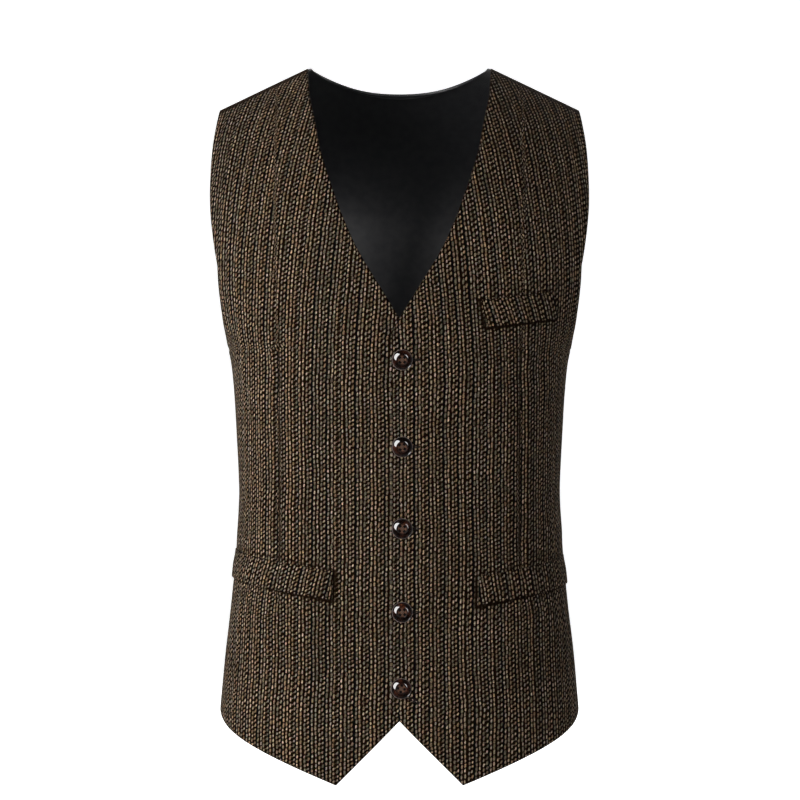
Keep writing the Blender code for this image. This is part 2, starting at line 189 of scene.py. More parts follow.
def planPoints(angles, heights, fromBack=False):
    # angles count from the centre front, or the centre back, towards the wearer's left
    turns = np.radians(np.asarray(angles, dtype=float))
    power = 2.0 / bodyForm["squareness"]
    inFront = (np.cos(turns) >= 0) != fromBack
    depth = np.where(inFront, read("front", heights), read("back", heights))
    x = np.sign(np.sin(turns)) * read("halfWidth", heights) * np.abs(np.sin(turns)) ** power
    y = np.where(inFront, -1.0, 1.0) * depth * np.abs(np.cos(turns)) ** power
    return x, y


def formPoints(angles, heights, fromBack=False):
    heights = np.asarray(heights, dtype=float) + 0.0 * np.asarray(angles, dtype=float)
    x, y = planPoints(angles, heights, fromBack)
    reach = 1.0 - np.clip((shoulderHeight(x) - heights) / bodyForm["crownHeight"], 0.0, 1.0)
    roundness = bodyForm["crownRoundness"]
    y = y * (1.0 - reach ** roundness) ** (1.0 / roundness)
    return np.stack([x, y, heights], axis=-1)


def angleOf(out, height):
    ratio = np.minimum(1.0, np.abs(out) / read("halfWidth", height))
    return np.sign(out) * np.degrees(np.arcsin(ratio ** (bodyForm["squareness"] / 2.0)))


def planLengths(height, fromBack=False):
    angles = np.linspace(*bodyForm["measuredAngles"], bodyForm["measuredPlaces"])
    x, y = planPoints(angles, height, fromBack)
    lengths = np.concatenate([[0.0], np.cumsum(np.hypot(np.diff(x), np.diff(y)))])
    return angles, lengths - np.interp(0.0, angles, lengths)


def sideSeam(fromBack):
    # its angle from the centre front or the centre back
    return 180 - frontCut["sideSeamAngle"] if fromBack else frontCut["sideSeamAngle"]


def rowOfCloth(shares, reach, start, end, height, fromBack=False):
    # lengths from the centre line and angles of one row's columns, which crowd towards an edge that cuts in
    angles, lengths = planLengths(height, fromBack)
    inner, outer, whole = np.interp([start, end, sideSeam(fromBack)], angles, lengths)
    spaced = shares * (whole + reach) - reach
    spaced = spaced + (inner + reach) * (1 - shares) ** frontCut["innerCrowding"]
    spaced = spaced + (outer - whole) * shares ** frontCut["outerCrowding"]
    return spaced, np.interp(spaced, lengths, angles)


def armholeAngle(height, fromBack):
    seam = sideSeam(fromBack)
    name = "backAngle" if fromBack else "frontAngle"
    scoop = frontCut["backScoop"] if fromBack else frontCut["frontScoop"]
    if height <= frontCut["underarm"]:
        return seam
    if height >= frontCut["scoopFrom"]:
        return float(read(name, height))
    rise = (height - frontCut["underarm"]) / (frontCut["scoopFrom"] - frontCut["underarm"])
    return seam - (seam - float(read(name, frontCut["scoopFrom"]))) * rise ** scoop


def sideGapAngle(height):
    return math.degrees(0.5 * frontCut["seamGap"] / float(read("halfWidth", height)))


def crownShares(count):
    # steps up a round crown, closer where it turns over
    steps = np.arange(1, count + 1)
    return np.cos(np.radians(90.0 * (1 - steps / count))) ** (2.0 / bodyForm["crownRoundness"])


def finer(values, parts):
    # each step between the values cut into equal parts
    values = np.asarray(values, dtype=float)
    places = np.arange((len(values) - 1) * parts + 1) / parts
    return np.interp(places, np.arange(len(values)), values)


def alongColumns(points, u, baseRow, leastShare=0.2):
    # the cloth's length up each column, counted from a row that lies level
    v = np.zeros(u.shape)
    v[:baseRow + 1] = points[:baseRow + 1, :, 2]
    for row in range(baseRow + 1, len(points)):
        step = np.linalg.norm(points[row] - points[row - 1], axis=1)
        across = u[row] - u[row - 1]
        v[row] = v[row - 1] + np.sqrt(np.maximum(step ** 2 - across ** 2, leastShare * step ** 2))
    return v


def frontPanel(reach, rise):
    # inner face of the front on the wearer's left, row by row from the hem up
    hemAngles, hemLengths = planLengths(frontCut["hemSide"])
    hemLength = np.interp(frontCut["sideSeamAngle"], hemAngles, hemLengths)
    outs = finer([-reach] + frontCut["columns"] + [hemLength], frontCut["fineness"])
    shares = (outs + reach) / (hemLength + reach)
    pointOut, point, notch = frontCut["hemPointOut"], frontCut["hemPoint"], frontCut["hemNotch"]
    toNotch = point + (notch - point) / pointOut * (pointOut - outs)
    toSide = point + (frontCut["hemSide"] - point) * (outs - pointOut) / (hemLength - pointOut)
    hem = np.where(outs < pointOut, toNotch, toSide)
    rows = []
    for share in np.linspace(0.0, 1.0, frontCut["hemRows"], endpoint=False):
        heights = hem * (1 - share) + frontCut["hemRowsFrom"] * share
        rows.append((heights, frontCut["hemSide"] * (1 - share) + frontCut["hemRowsFrom"] * share))
    baseRow = len(rows)
    corner = -readingDepths[np.argmax(read("neckline", -readingDepths) <= -reach)]
    levels = np.arange(frontCut["hemRowsFrom"], bodyForm["tiltedFrom"] + 1, frontCut["rowStep"])
    levels = [height for height in levels if abs(height - corner) > frontCut["cornerClear"]] + [corner]
    for height in sorted(levels):
        rows.append((np.full(outs.shape, height), height))

    def rowEnds(heights, level):
        inner = heights[0] if level is None else level
        outer = heights[-1] if level is None else level
        start = angleOf(max(float(read("neckline", inner)), -reach), inner)
        end = armholeAngle(outer, False) - sideGapAngle(outer)
        return start, end, 0.5 * (inner + outer)

    seamEnds = shoulderHeight([bodyForm["neckHalfWidth"], bodyForm["shoulderHalfWidth"]])
    seamAngles = rowOfCloth(shares, reach, *rowEnds(seamEnds, None))[1]
    tops = shoulderHeight(planPoints(seamAngles, seamEnds.mean())[0]) - bodyForm["seamDrop"]
    for share in crownShares(frontCut["crownRows"]):
        rows.append((bodyForm["tiltedFrom"] * (1 - share) + tops * share, None))

    points = []
    lengths = []
    for heights, level in rows:
        along, angles = rowOfCloth(shares, reach, *rowEnds(heights, level))
        row = formPoints(angles, heights)
        row[:, 1] -= rise * (1 - blend(row[:, 0], *frontCut["lapFade"]))
        points.append(row)
        lengths.append(along)
    points = np.array(points)
    u = np.array(lengths)
    return points, u, alongColumns(points, u, baseRow)


def backPanel():
    # inner face of the back from side to side, its last rows round the neck and over the crest
    neckColumns = backCut["neckColumns"]
    topOut = bodyForm["shoulderHalfWidth"]
    seamEnd = armholeAngle(float(shoulderHeight(topOut)), True)
    seamHeight = 0.5 * float(shoulderHeight(topOut))
    tries = np.linspace(0.0, 1.0, bodyForm["measuredPlaces"])
    seamAngles = rowOfCloth(tries, 0.0, 0.0, seamEnd, seamHeight, True)[1]
    neck = np.interp(angleOf(bodyForm["neckHalfWidth"], seamHeight), seamAngles, tries)
    shares = np.concatenate([
        np.linspace(0.0, neck, neckColumns + 1),
        np.linspace(neck, 1.0, backCut["shoulderColumns"] + 1)[1:],
    ])
    outs = planPoints(rowOfCloth(shares, 0.0, 0.0, seamEnd, seamHeight, True)[1], seamHeight)[0]
    neckTops = -backCut["neckDrop"] * (1 - (outs / bodyForm["neckHalfWidth"]) ** backCut["neckCurve"])
    isNeck = np.arange(len(shares)) < neckColumns
    tops = np.where(isNeck, neckTops, shoulderHeight(outs))
    levels = np.arange(backCut["hem"], bodyForm["tiltedFrom"] + 1, backCut["rowStep"])
    rows = [np.full(shares.shape, height) for height in levels]
    for share in crownShares(backCut["crownRows"]):
        rows.append(bodyForm["tiltedFrom"] * (1 - share) + tops * share)
    points = []
    lengths = []
    for heights in rows:
        end = armholeAngle(heights[-1], True) - sideGapAngle(heights[-1])
        middle = 0.5 * (heights[neckColumns] + heights[-1])
        along, angles = rowOfCloth(shares, 0.0, 0.0, end, middle, True)
        points.append(formPoints(angles, heights, True))
        lengths.append(along)
    overCrest = points[-1].copy()
    for place in range(len(shares)):
        if isNeck[place]:
            points[-1][place, 2] -= backCut["neckEdge"] * (1 - place / neckColumns)
        else:
            x = points[-1][place, 0]
            points[-1][place] = (x, 0.0, float(shoulderHeight(x)))
            height = float(shoulderHeight(x)) - bodyForm["seamDrop"]
            overCrest[place] = formPoints(angleOf(x, height), height)
            overCrest[place, 1] += frontCut["seamGap"]
    points = np.array(points + [overCrest])
    u = np.array(lengths + [lengths[-1]])
    v = alongColumns(points, u, 0)
    points = np.concatenate([points[:, :0:-1] * (-1, 1, 1), points], axis=1)
    u = np.concatenate([-u[:, :0:-1], u], axis=1)
    v = np.concatenate([v[:, :0:-1], v], axis=1)
    return points[:, ::-1], u[:, ::-1], v[:, ::-1]


def mirrored(points, normals, u, v, cut):
    # a piece of the wearer's left, turned over for the right
    return (
        points[:, ::-1] * (-1, 1, 1), normals[:, ::-1] * (-1, 1, 1), -u[:, ::-1], v[:, ::-1], cut[:, ::-1],
    )


def panelNormals(points):
    across = np.gradient(points, axis=1)
    upward = np.gradient(points, axis=0)
    normals = np.cross(across, upward)
    return normals / np.maximum(np.linalg.norm(normals, axis=2, keepdims=True), 1e-9)


print("form ready")

clothEdge = {
    "pulledIn": 0.75,  # how far the face stops short of the cut edge, so that the edge is rolled
    "mostPulled": 0.45,  # and the most of the border's own cells that this takes
    "rollShares": (0.86, 0.5, 0.14),
    "rollIn": (0.12, 0.0, 0.12),
}


def edgeLoop(rows, columns):
    # the grid's border, once round
    loop = [(0, column) for column in range(columns)]
    loop += [(row, columns - 1) for row in range(1, rows)]
    loop += [(rows - 1, column) for column in range(columns - 2, -1, -1)]
    loop += [(row, 0) for row in range(rows - 2, 0, -1)]
    return loop


def pulledBorder(points):
    # the points with the border drawn in over the surface
    result = points.copy()

    def draw(target, inward):
        step = inward - target
        length = np.maximum(np.linalg.norm(step, axis=-1, keepdims=True), 1e-6)
        return target + step / length * np.minimum(clothEdge["pulledIn"], clothEdge["mostPulled"] * length)

    result[0] = draw(result[0], points[1])
    result[-1] = draw(result[-1], points[-2])
    result[:, 0] = draw(result[:, 0], result[:, 1])
    result[:, -1] = draw(result[:, -1], result[:, -2])
    return result


def placeObject(name, data):
    made = bpy.data.objects.new(name, data)
    bpy.context.collection.objects.link(made)
    return made


def clothShell(name, points, normals, u, v, cut, thickness, materials):
    # outer face, inner face and a rolled edge. u and v are the grain, cut is the place on the panel
    rows, columns = points.shape[:2]
    faceIn = pulledBorder(points)
    outer = faceIn + normals * thickness
    loop = edgeLoop(rows, columns)
    rings = []
    for share, drawn in zip(clothEdge["rollShares"], clothEdge["rollIn"]):
        ring = points * (1 - drawn) + faceIn * drawn + normals * thickness * share
        rings.append(np.array([ring[row, column] for row, column in loop]))
    coordinates = np.concatenate([outer.reshape(-1, 3), faceIn.reshape(-1, 3)] + rings) * mm
    count = rows * columns
    grid = np.arange(count).reshape(rows, columns)
    faces = np.stack([grid[:-1, :-1], grid[:-1, 1:], grid[1:, 1:], grid[1:, :-1]], axis=-1).reshape(-1, 4)
    inside = faces[:, ::-1] + count
    border = np.array([grid[row, column] for row, column in loop])
    levels = [border] + [2 * count + len(loop) * ring + np.arange(len(loop)) for ring in range(len(rings))]
    levels.append(border + count)
    rim = []
    for upper, lower in zip(levels[:-1], levels[1:]):
        rim.append(np.stack([upper, lower, np.roll(lower, -1), np.roll(upper, -1)], axis=-1))
    allFaces = np.concatenate([faces, inside] + rim)
    mesh = bpy.data.meshes.new(name)
    mesh.from_pydata(coordinates.tolist(), [], allFaces.tolist())
    source = np.concatenate([np.arange(count), np.arange(count)] + [border] * len(rings))
    corners = source[allFaces.reshape(-1)]
    for mapName, flat in (("grain", np.stack([u, v], axis=-1)), ("cut", cut)):
        layer = mesh.uv_layers.new(name=mapName)
        layer.data.foreach_set("uv", (flat.reshape(-1, 2)[corners] * mm).reshape(-1))
    for material in materials:
        mesh.materials.append(material)
    slots = np.zeros(len(allFaces), dtype=np.int32)
    slots[len(faces):2 * len(faces)] = 1
    slots[2 * len(faces):] = 2
    mesh.polygons.foreach_set("material_index", slots)
    mesh.shade_smooth()
    mesh.update()
    return placeObject(name, mesh)


creaseForm = {"bow": 0.12, "fadeIn": (-0.15, 0.35), "fadeOut": (0.6, 1.15)}  # shares of a crease's length


def addCreases(points, normals, u, v, creases):
    # each crease is a soft trough or ridge on the cloth: two ends, width and height in mm
    for startU, startV, endU, endV, width, height in creases:
        alongU, alongV = endU - startU, endV - startV
        length = math.hypot(alongU, alongV)
        share = ((u - startU) * alongU + (v - startV) * alongV) / length ** 2
        bow = creaseForm["bow"] * length * np.sin(np.clip(share, 0, 1) * math.pi)
        off = ((u - startU) * -alongV + (v - startV) * alongU) / length - bow
        fade = blend(share, *creaseForm["fadeIn"]) * (1 - blend(share, *creaseForm["fadeOut"]))
        points += normals * (height * fade * np.exp(-(off / width) ** 2))[:, :, None]
    return points


def addNode(tree, kind, **settings):
    made = tree.nodes.new(kind)
    for name, value in settings.items():
        setattr(made, name, value)
    return made


def feed(tree, socket, value):
    # a socket takes a number, a vector, a colour or another node's output
    if isinstance(value, bpy.types.NodeSocket):
        tree.links.new(value, socket)
    elif socket.type == "RGBA":
        socket.default_value = (*value, 1.0)
    else:
        socket.default_value = value


def feedAll(tree, node, values):
    for name, value in values.items():
        feed(tree, node.inputs[name], value)


def calc(tree, operation, *values):
    made = addNode(tree, "ShaderNodeMath", operation=operation)
    for place, value in enumerate(values):
        feed(tree, made.inputs[place], value)
    return made.outputs[0]


def calcChain(operation):
    # a sum, a product and so on of two or more values, from left to right
    def chain(tree, result, *others):
        for value in others:
            result = calc(tree, operation, result, value)
        return result
    return chain


plus, minus, times, over = [calcChain(kind) for kind in ("ADD", "SUBTRACT", "MULTIPLY", "DIVIDE")]


def vectorCalc(tree, operation, *values):
    made = addNode(tree, "ShaderNodeVectorMath", operation=operation)
    names = (0, "Scale") if operation == "SCALE" else range(len(values))
    for name, value in zip(names, values):
        feed(tree, made.inputs[name], value)
    return made.outputs["Value" if operation in ("DOT_PRODUCT", "DISTANCE") else "Vector"]


def rangeOf(tree, value, low, high, toLow=0.0, toHigh=1.0, smooth=True):
    made = addNode(tree, "ShaderNodeMapRange", interpolation_type="SMOOTHSTEP" if smooth else "LINEAR")
    for place, item in enumerate((value, low, high, toLow, toHigh)):
        feed(tree, made.inputs[place], item)
    return made.outputs[0]


def between(tree, share, low, high):
    return rangeOf(tree, share, 0.0, 1.0, low, high, False)


def strayOf(tree, chance, spread):
    # a chance value from 0 to 1, turned into one to both sides of nothing
    return times(tree, minus(tree, chance, 0.5), spread)


def mixColours(tree, factor, first, second):
    made = addNode(tree, "ShaderNodeMix", data_type="RGBA")
    for place, value in ((0, factor), (6, first), (7, second)):
        feed(tree, made.inputs[place], value)
    return made.outputs[2]


def noiseOf(tree, vector, scale, detail=2.0, roughness=0.5):
    made = addNode(tree, "ShaderNodeTexNoise")
    feedAll(tree, made, {"Vector": vector, "Scale": scale, "Detail": detail, "Roughness": roughness})
    return made.outputs


def diceOf(tree, value, dimensions):
    # a value and a colour by chance for each number or pair of numbers
    made = addNode(tree, "ShaderNodeTexWhiteNoise", noise_dimensions=dimensions)
    feed(tree, made.inputs["W" if dimensions == "1D" else "Vector"], value)
    return made.outputs


def partsOf(tree, value, kind="XYZ"):
    made = addNode(tree, "ShaderNodeSeparate" + kind)
    feed(tree, made.inputs[0], value)
    return made.outputs


def combine(tree, x, y):
    made = addNode(tree, "ShaderNodeCombineXYZ")
    feedAll(tree, made, {"X": x, "Y": y})
    return made.outputs[0]


def colourRamp(tree, value, stops):
    made = addNode(tree, "ShaderNodeValToRGB")
    ramp = made.color_ramp
    while len(ramp.elements) < len(stops):
        ramp.elements.new(0.5)
    for element, (place, colour) in zip(ramp.elements, stops):
        element.position = place
        element.color = (*colour, 1.0)
    feed(tree, made.inputs[0], value)
    return made.outputs[0]


def bumpOf(tree, height, strength, distance):
    made = addNode(tree, "ShaderNodeBump")
    feedAll(tree, made, {"Strength": strength, "Distance": distance, "Height": height})
    return made.outputs[0]


def newGroup(name, inputs, outputs):
    tree = bpy.data.node_groups.new(name, "ShaderNodeTree")
    for socketName, (kind, value) in inputs.items():
        socket = tree.interface.new_socket(socketName, in_out="INPUT", socket_type="NodeSocket" + kind)
        if value is not None:
            socket.default_value = value
    for socketName, kind in outputs.items():
        tree.interface.new_socket(socketName, in_out="OUTPUT", socket_type="NodeSocket" + kind)
    return tree, tree.nodes.new("NodeGroupInput"), tree.nodes.new("NodeGroupOutput")


def startMaterial(name):
    material = bpy.data.materials.new(name)
    material.use_nodes = True
    return material, material.node_tree, material.node_tree.nodes["Principled BSDF"]


noiseSpan = (0.3, 0.7)  # where most of a noise texture's values lie

# the tweed's weave, in metres
weave = {
    "repeatWidth": 0.0135,  # four yarns: two light lines, then two that strokes tie into a cord
    "rowHeight": 0.0045,
    # half width, half height, slant and rise of each yarn's dashes, as shares of a cell, and how light it is
    "yarns": [
        (0.26, 0.40, 0.24, 0.00, 1.16), (0.25, 0.43, 0.22, 0.28, 1.22),
        (0.25, 0.37, 0.34, -0.08, 1.08), (0.26, 0.30, 0.50, 0.36, 1.10),
    ],
    # the same shares for the cord's strokes, and how faint they are
    "stroke": (0.56, 0.18, 0.44, 0.14, 1.05),
    "strokePlace": 3.0,  # between the last two yarns
    "drift": (55.0, 0.0011, 0.0050),  # noise scale, then how far the yarns and the rows wander in metres
    "waver": (11.0, 0.0035, 0.018),  # the same for the long waves
    "jitter": 0.10,  # how far each column, and each dash in it, stands aside
    "sizes": (0.75, 1.55),  # the largest and the smallest dash
    "fuzz": (820.0, 2.4),  # noise scale and strength of the dashes' hairy outline
    "dashEdge": (1.70, 0.20),  # where a dash ends, and where it is full
    "fall": 0.6,  # how fast a dash's height falls from its middle
    # how much of a dash's colour its own chance, its column's and its row's decide
    "chance": (0.74, 0.14, 0.10),
    "rowSeed": 0.37,
    "palette": [  # darkest to lightest, warm and cool in turn
        (0.00, (0.066, 0.048, 0.032)), (0.16, (0.108, 0.092, 0.064)), (0.30, (0.166, 0.112, 0.070)),
        (0.42, (0.172, 0.148, 0.114)), (0.54, (0.248, 0.176, 0.114)), (0.66, (0.214, 0.182, 0.146)),
        (0.78, (0.318, 0.240, 0.168)), (0.90, (0.362, 0.302, 0.240)),
    ],
    "warm": (1.07, 0.99, 0.91),
    "cool": (0.96, 1.00, 1.05),
    "dashWarmth": 0.3,
    "warmSpan": (0.3, 1.0),
    "patches": (14.0, 0.92, 1.08),  # noise scale, and the light of the dull and the bright patches
    "dashLight": (0.75, 1.25),
    # single fibres of other colours that catch the light: scale, light, and colours with their range
    "fibres": (1000.0, 0.62, 1.38),
    "fibreRange": (0.70, 0.60, 0.80),
    "fibreLeast": (0.65, 0.70, 0.60),
    "groundContrast": 4.0,
    "ground": (0.0050, 0.0021, 0.0005),
    "gap": (0.0018, 0.0019, 0.0017),  # the ground between one repeat and the next
    "gapReach": (0.35, 0.15),  # where it ends, and where it is full, in yarns
}


def yarnValue(tree, kind, part):
    # one column of the yarns' table, for the yarn that a column of cloth is made of
    found = [
        times(tree, calc(tree, "COMPARE", kind, float(number), 0.5), yarn[part])
        for number, yarn in enumerate(weave["yarns"])
    ]
    return plus(tree, *found)


def ellipse(tree, across, halfWidth, along, halfHeight):
    # how far from a dash's middle, squared, and 1 at its edge
    wide, high = over(tree, across, halfWidth), over(tree, along, halfHeight)
    return plus(tree, times(tree, wide, wide), times(tree, high, high))


def makeWeaveGroup():
    tree, start, end = newGroup(
        "tweedWeave",
        {
            "Vector": ("Vector", None), "Repeat Width": ("Float", weave["repeatWidth"]),
            "Row Height": ("Float", weave["rowHeight"]), "Brightness": ("Float", 1.0),
        },
        {"Color": "Color", "Height": "Float", "Dash": "Float"},
    )
    vector = start.outputs["Vector"]
    yarnCount = float(len(weave["yarns"]))

    # yarns and rows wander a little
    driftScale, *driftBy = weave["drift"]
    waverScale, *waverBy = weave["waver"]
    drift = partsOf(tree, noiseOf(tree, vector, driftScale, 1.0)["Color"], "Color")
    waver = noiseOf(tree, vector, waverScale, 1.0)[0]
    flat = partsOf(tree, vector)
    u, v = [
        plus(tree, flat[way], strayOf(tree, drift[way], driftBy[way]), strayOf(tree, waver, waverBy[way]))
        for way in range(2)
    ]

    # columns of yarn, and rows that each yarn slants and lifts in its own way
    column = times(tree, over(tree, u, start.outputs["Repeat Width"]), yarnCount)
    columnNumber = calc(tree, "FLOOR", column)
    inRepeat = calc(tree, "FLOORED_MODULO", column, yarnCount)
    across = minus(tree, column, columnNumber, 0.5)
    kind = calc(tree, "FLOORED_MODULO", columnNumber, yarnCount)
    halfWidth, halfHeight, slant, rise, light = [yarnValue(tree, kind, part) for part in range(5)]
    level = over(tree, v, start.outputs["Row Height"])
    row = minus(tree, level, times(tree, slant, across), rise)
    rowNumber = calc(tree, "FLOOR", row)
    along = minus(tree, row, rowNumber, 0.5)

    # each dash has its own place, size and light by chance
    byColumn = diceOf(tree, columnNumber, "1D")["Value"]
    byRow = diceOf(tree, plus(tree, rowNumber, weave["rowSeed"]), "1D")["Value"]
    byDash = diceOf(tree, combine(tree, columnNumber, rowNumber), "2D")
    size, shade, aside = partsOf(tree, byDash["Color"], "Color")
    jitter = weave["jitter"]
    across = plus(
        tree, across, between(tree, aside, -jitter, jitter), between(tree, byColumn, -jitter, jitter)
    )
    far = ellipse(tree, across, halfWidth, along, halfHeight)
    far = times(tree, far, between(tree, size, *weave["sizes"]))

    # slanted strokes tie the last two yarns into a cord
    strokeWidth, strokeHeight, strokeSlant, strokeRise, faint = weave["stroke"]
    fromCord = minus(tree, inRepeat, weave["strokePlace"])
    strokeRow = minus(tree, level, strokeRise, times(tree, fromCord, strokeSlant))
    strokeAlong = minus(tree, calc(tree, "FLOORED_MODULO", strokeRow, 1.0), 0.5)
    stroke = plus(tree, ellipse(tree, fromCord, strokeWidth, strokeAlong, strokeHeight), faint)
    fuzzScale, fuzz = weave["fuzz"]
    hairs = noiseOf(tree, vector, fuzzScale, 2.0, 0.7)[0]
    far = plus(tree, calc(tree, "MINIMUM", far, stroke), strayOf(tree, hairs, fuzz))
    dash = rangeOf(tree, far, *weave["dashEdge"])
    rounded = minus(tree, 1.0, times(tree, far, weave["fall"]))
    height = calc(tree, "SQRT", calc(tree, "MAXIMUM", rounded, 0.0))

    # the yarns' colours
    chances = zip((byDash["Value"], byColumn, byRow), weave["chance"])
    chance = plus(tree, *[times(tree, value, part) for value, part in chances])
    colour = colourRamp(tree, chance, weave["palette"])
    warmth = plus(tree, byColumn, times(tree, aside, weave["dashWarmth"]))
    tint = mixColours(tree, rangeOf(tree, warmth, *weave["warmSpan"]), weave["cool"], weave["warm"])
    fibreScale, *fibreLight = weave["fibres"]
    fibres = noiseOf(tree, vector, fibreScale, 0.0)
    flecks = vectorCalc(tree, "MULTIPLY_ADD", fibres["Color"], weave["fibreRange"], weave["fibreLeast"])
    patchScale, *patchLight = weave["patches"]
    patches = noiseOf(tree, vector, patchScale, 3.0)[0]
    bright = times(
        tree, rangeOf(tree, patches, *noiseSpan, *patchLight), between(tree, shade, *weave["dashLight"]),
        light, start.outputs["Brightness"], rangeOf(tree, fibres[0], *noiseSpan, *fibreLight, False),
    )
    tone = vectorCalc(tree, "MULTIPLY", vectorCalc(tree, "MULTIPLY", colour, tint), flecks)
    tone = vectorCalc(tree, "SCALE", tone, bright)

    # the dark ground between the dashes
    fromGap = calc(tree, "MINIMUM", inRepeat, minus(tree, yarnCount, inRepeat))
    ground = mixColours(tree, rangeOf(tree, fromGap, *weave["gapReach"]), weave["ground"], weave["gap"])
    contrast = weave["groundContrast"]
    fluff = vectorCalc(tree, "MULTIPLY_ADD", fibres["Color"], (contrast,) * 3, (1 - contrast / 2,) * 3)
    ground = vectorCalc(tree, "MULTIPLY", ground, fluff)
    feedAll(tree, end, {"Color": mixColours(tree, dash, ground, tone), "Height": height, "Dash": dash})
    return tree


weaveGroup = makeWeaveGroup()

tweedFinish = {
    "roughness": (0.95, 0.78),  # of the ground and of the dashes
    "gloss": 0.03,
    "sheen": 0.02,
    "sheenRoughness": 0.3,
    "sheenTint": (0.75, 0.66, 0.55),
    "bumpDistance": 0.0008,
    "dartShadeLine": (0.0016, 0.0003),  # how far from the dart its line of painted shade ends, and where it is full
    "dartFade": (30, 20),  # over how much it fades at its top and its foot
    "dartDark": 0.85,
}


def dartShadeLine(tree):
    # the dart's seam is a fine line of painted shade where the cloth sinks into it
    cut = addNode(tree, "ShaderNodeUVMap", uv_map="cut")
    out, up = partsOf(tree, cut.outputs[0])[:2]
    off = calc(tree, "ABSOLUTE", minus(tree, out, frontCut["dartColumn"] * mm))
    top, foot = frontCut["dartTop"], frontCut["dartBottom"]
    topFade, footFade = tweedFinish["dartFade"]
    return times(
        tree, rangeOf(tree, off, *tweedFinish["dartShadeLine"]),
        rangeOf(tree, up, top * mm, (top - topFade) * mm),
        rangeOf(tree, up, foot * mm, (foot + footFade) * mm),
    )


def makeTweed(name, brightness, bump, hasDart=False):
    material, tree, shader = startMaterial(name)
    grain = addNode(tree, "ShaderNodeUVMap", uv_map="grain")
    group = addNode(tree, "ShaderNodeGroup", node_tree=weaveGroup)
    feedAll(tree, group, {"Vector": grain.outputs[0], "Brightness": brightness})
    colour, height = group.outputs["Color"], group.outputs["Height"]
    if hasDart:
        # painted shade along the dart's seam, where the weave's relief is also taken away
        line = dartShadeLine(tree)
        colour = mixColours(tree, times(tree, line, tweedFinish["dartDark"]), colour, weave["ground"])
        height = times(tree, height, minus(tree, 1.0, line))
    feedAll(tree, shader, {
        "Base Color": colour,
        "Normal": bumpOf(tree, height, bump, tweedFinish["bumpDistance"]),
        "Roughness": between(tree, group.outputs["Dash"], *tweedFinish["roughness"]),
        "Specular IOR Level": tweedFinish["gloss"],
        "Sheen Weight": tweedFinish["sheen"],
        "Sheen Roughness": tweedFinish["sheenRoughness"],
        "Sheen Tint": tweedFinish["sheenTint"],
    })
    return material


# lines of painted shade round the welts, and the shoulders' dark seams
seamAndShadeLine = {
    "ragged": (420.0, 0.6),  # noise scale and strength of its uneven edge
    "edge": (0.75, 0.25),  # where it ends and where it is full, as shares of its width
}


def makeSeamAndShadeGroup():
    # dark along a straight line between two points, seen from the front: painted shade round the welts, and
    # the dark seams on the shoulders
    tree, start, end = newGroup(
        "seamAndShadeLine",
        {
            "Vector": ("Vector", None), "Start": ("Vector", None), "End": ("Vector", None),
            "Width": ("Float", 0.002), "Depth": ("Float", 1.0),
        },
        {"Mask": "Float"},
    )
    vector, first, last, width, depth = start.outputs[:5]
    flat = vectorCalc(tree, "MULTIPLY", vector, (1.0, 0.0, 1.0))
    fromStart = vectorCalc(tree, "SUBTRACT", flat, first)
    line = vectorCalc(tree, "SUBTRACT", last, first)
    dots = [vectorCalc(tree, "DOT_PRODUCT", other, line) for other in (fromStart, line)]
    share = calc(tree, "MINIMUM", calc(tree, "MAXIMUM", over(tree, *dots), 0.0), 1.0)
    nearest = vectorCalc(tree, "SCALE", line, share)
    raggedScale, ragged = seamAndShadeLine["ragged"]
    uneven = strayOf(tree, noiseOf(tree, vector, raggedScale)[0], ragged)
    off = plus(tree, over(tree, vectorCalc(tree, "DISTANCE", fromStart, nearest), width), uneven)
    feed(tree, end.inputs["Mask"], times(tree, rangeOf(tree, off, *seamAndShadeLine["edge"]), depth))
    return tree


seamAndShadeGroup = makeSeamAndShadeGroup()


def paintSeamsAndShade(material, lines):
    # darkens the cloth along each line, which is painted shade round the welts and a dark seam on each
    # shoulder, and takes the weave's relief away there
    tree = material.node_tree
    shader = tree.nodes["Principled BSDF"]
    bump = shader.inputs["Normal"].links[0].from_node
    place = addNode(tree, "ShaderNodeTexCoord")
    masks = None
    for start, end, width, depth in lines:
        seam = addNode(tree, "ShaderNodeGroup", node_tree=seamAndShadeGroup)
        feedAll(tree, seam, {
            "Vector": place.outputs["Object"], "Start": start, "End": end, "Width": width, "Depth": depth,
        })
        masks = seam.outputs[0] if masks is None else calc(tree, "MAXIMUM", masks, seam.outputs[0])
    colour = shader.inputs["Base Color"].links[0].from_socket
    height = bump.inputs["Height"].links[0].from_socket
    feed(tree, shader.inputs["Base Color"], mixColours(tree, masks, colour, weave["ground"]))
    feed(tree, bump.inputs["Height"], times(tree, height, minus(tree, 1.0, masks)))


plainFinish = {
    "cloudScale": 120.0,
    "twillShade": 0.35,  # how much painted shade darkens the hollows of the twill
    "bump": (0.12, 0.0002),  # strength, distance
    "gloss": 0.4,
    "sheenRoughness": 0.4,
}


def makePlainCloth(name, settings):
    # smooth black cloth with a fine twill and a soft gleam
    material, tree, shader = startMaterial(name)
    grain = addNode(tree, "ShaderNodeUVMap", uv_map="grain")
    slanted = plus(tree, *partsOf(tree, grain.outputs[0])[:2])
    twill = calc(tree, "SINE", times(tree, slanted, settings["twill"]))
    cloud = noiseOf(tree, grain.outputs[0], plainFinish["cloudScale"], 3.0)[0]
    colour = mixColours(tree, rangeOf(tree, cloud, *noiseSpan), settings["dark"], settings["light"])
    # painted shade in the twill's hollows
    shade = rangeOf(tree, twill, -1.0, 1.0, 0.0, plainFinish["twillShade"], False)
    feedAll(tree, shader, {
        "Base Color": mixColours(tree, shade, colour, settings["dark"]),
        "Normal": bumpOf(tree, twill, *plainFinish["bump"]),
        "Roughness": settings["roughness"],
        "Specular IOR Level": plainFinish["gloss"],
        "Sheen Weight": settings["sheen"],
        "Sheen Roughness": plainFinish["sheenRoughness"],
    })
    return material


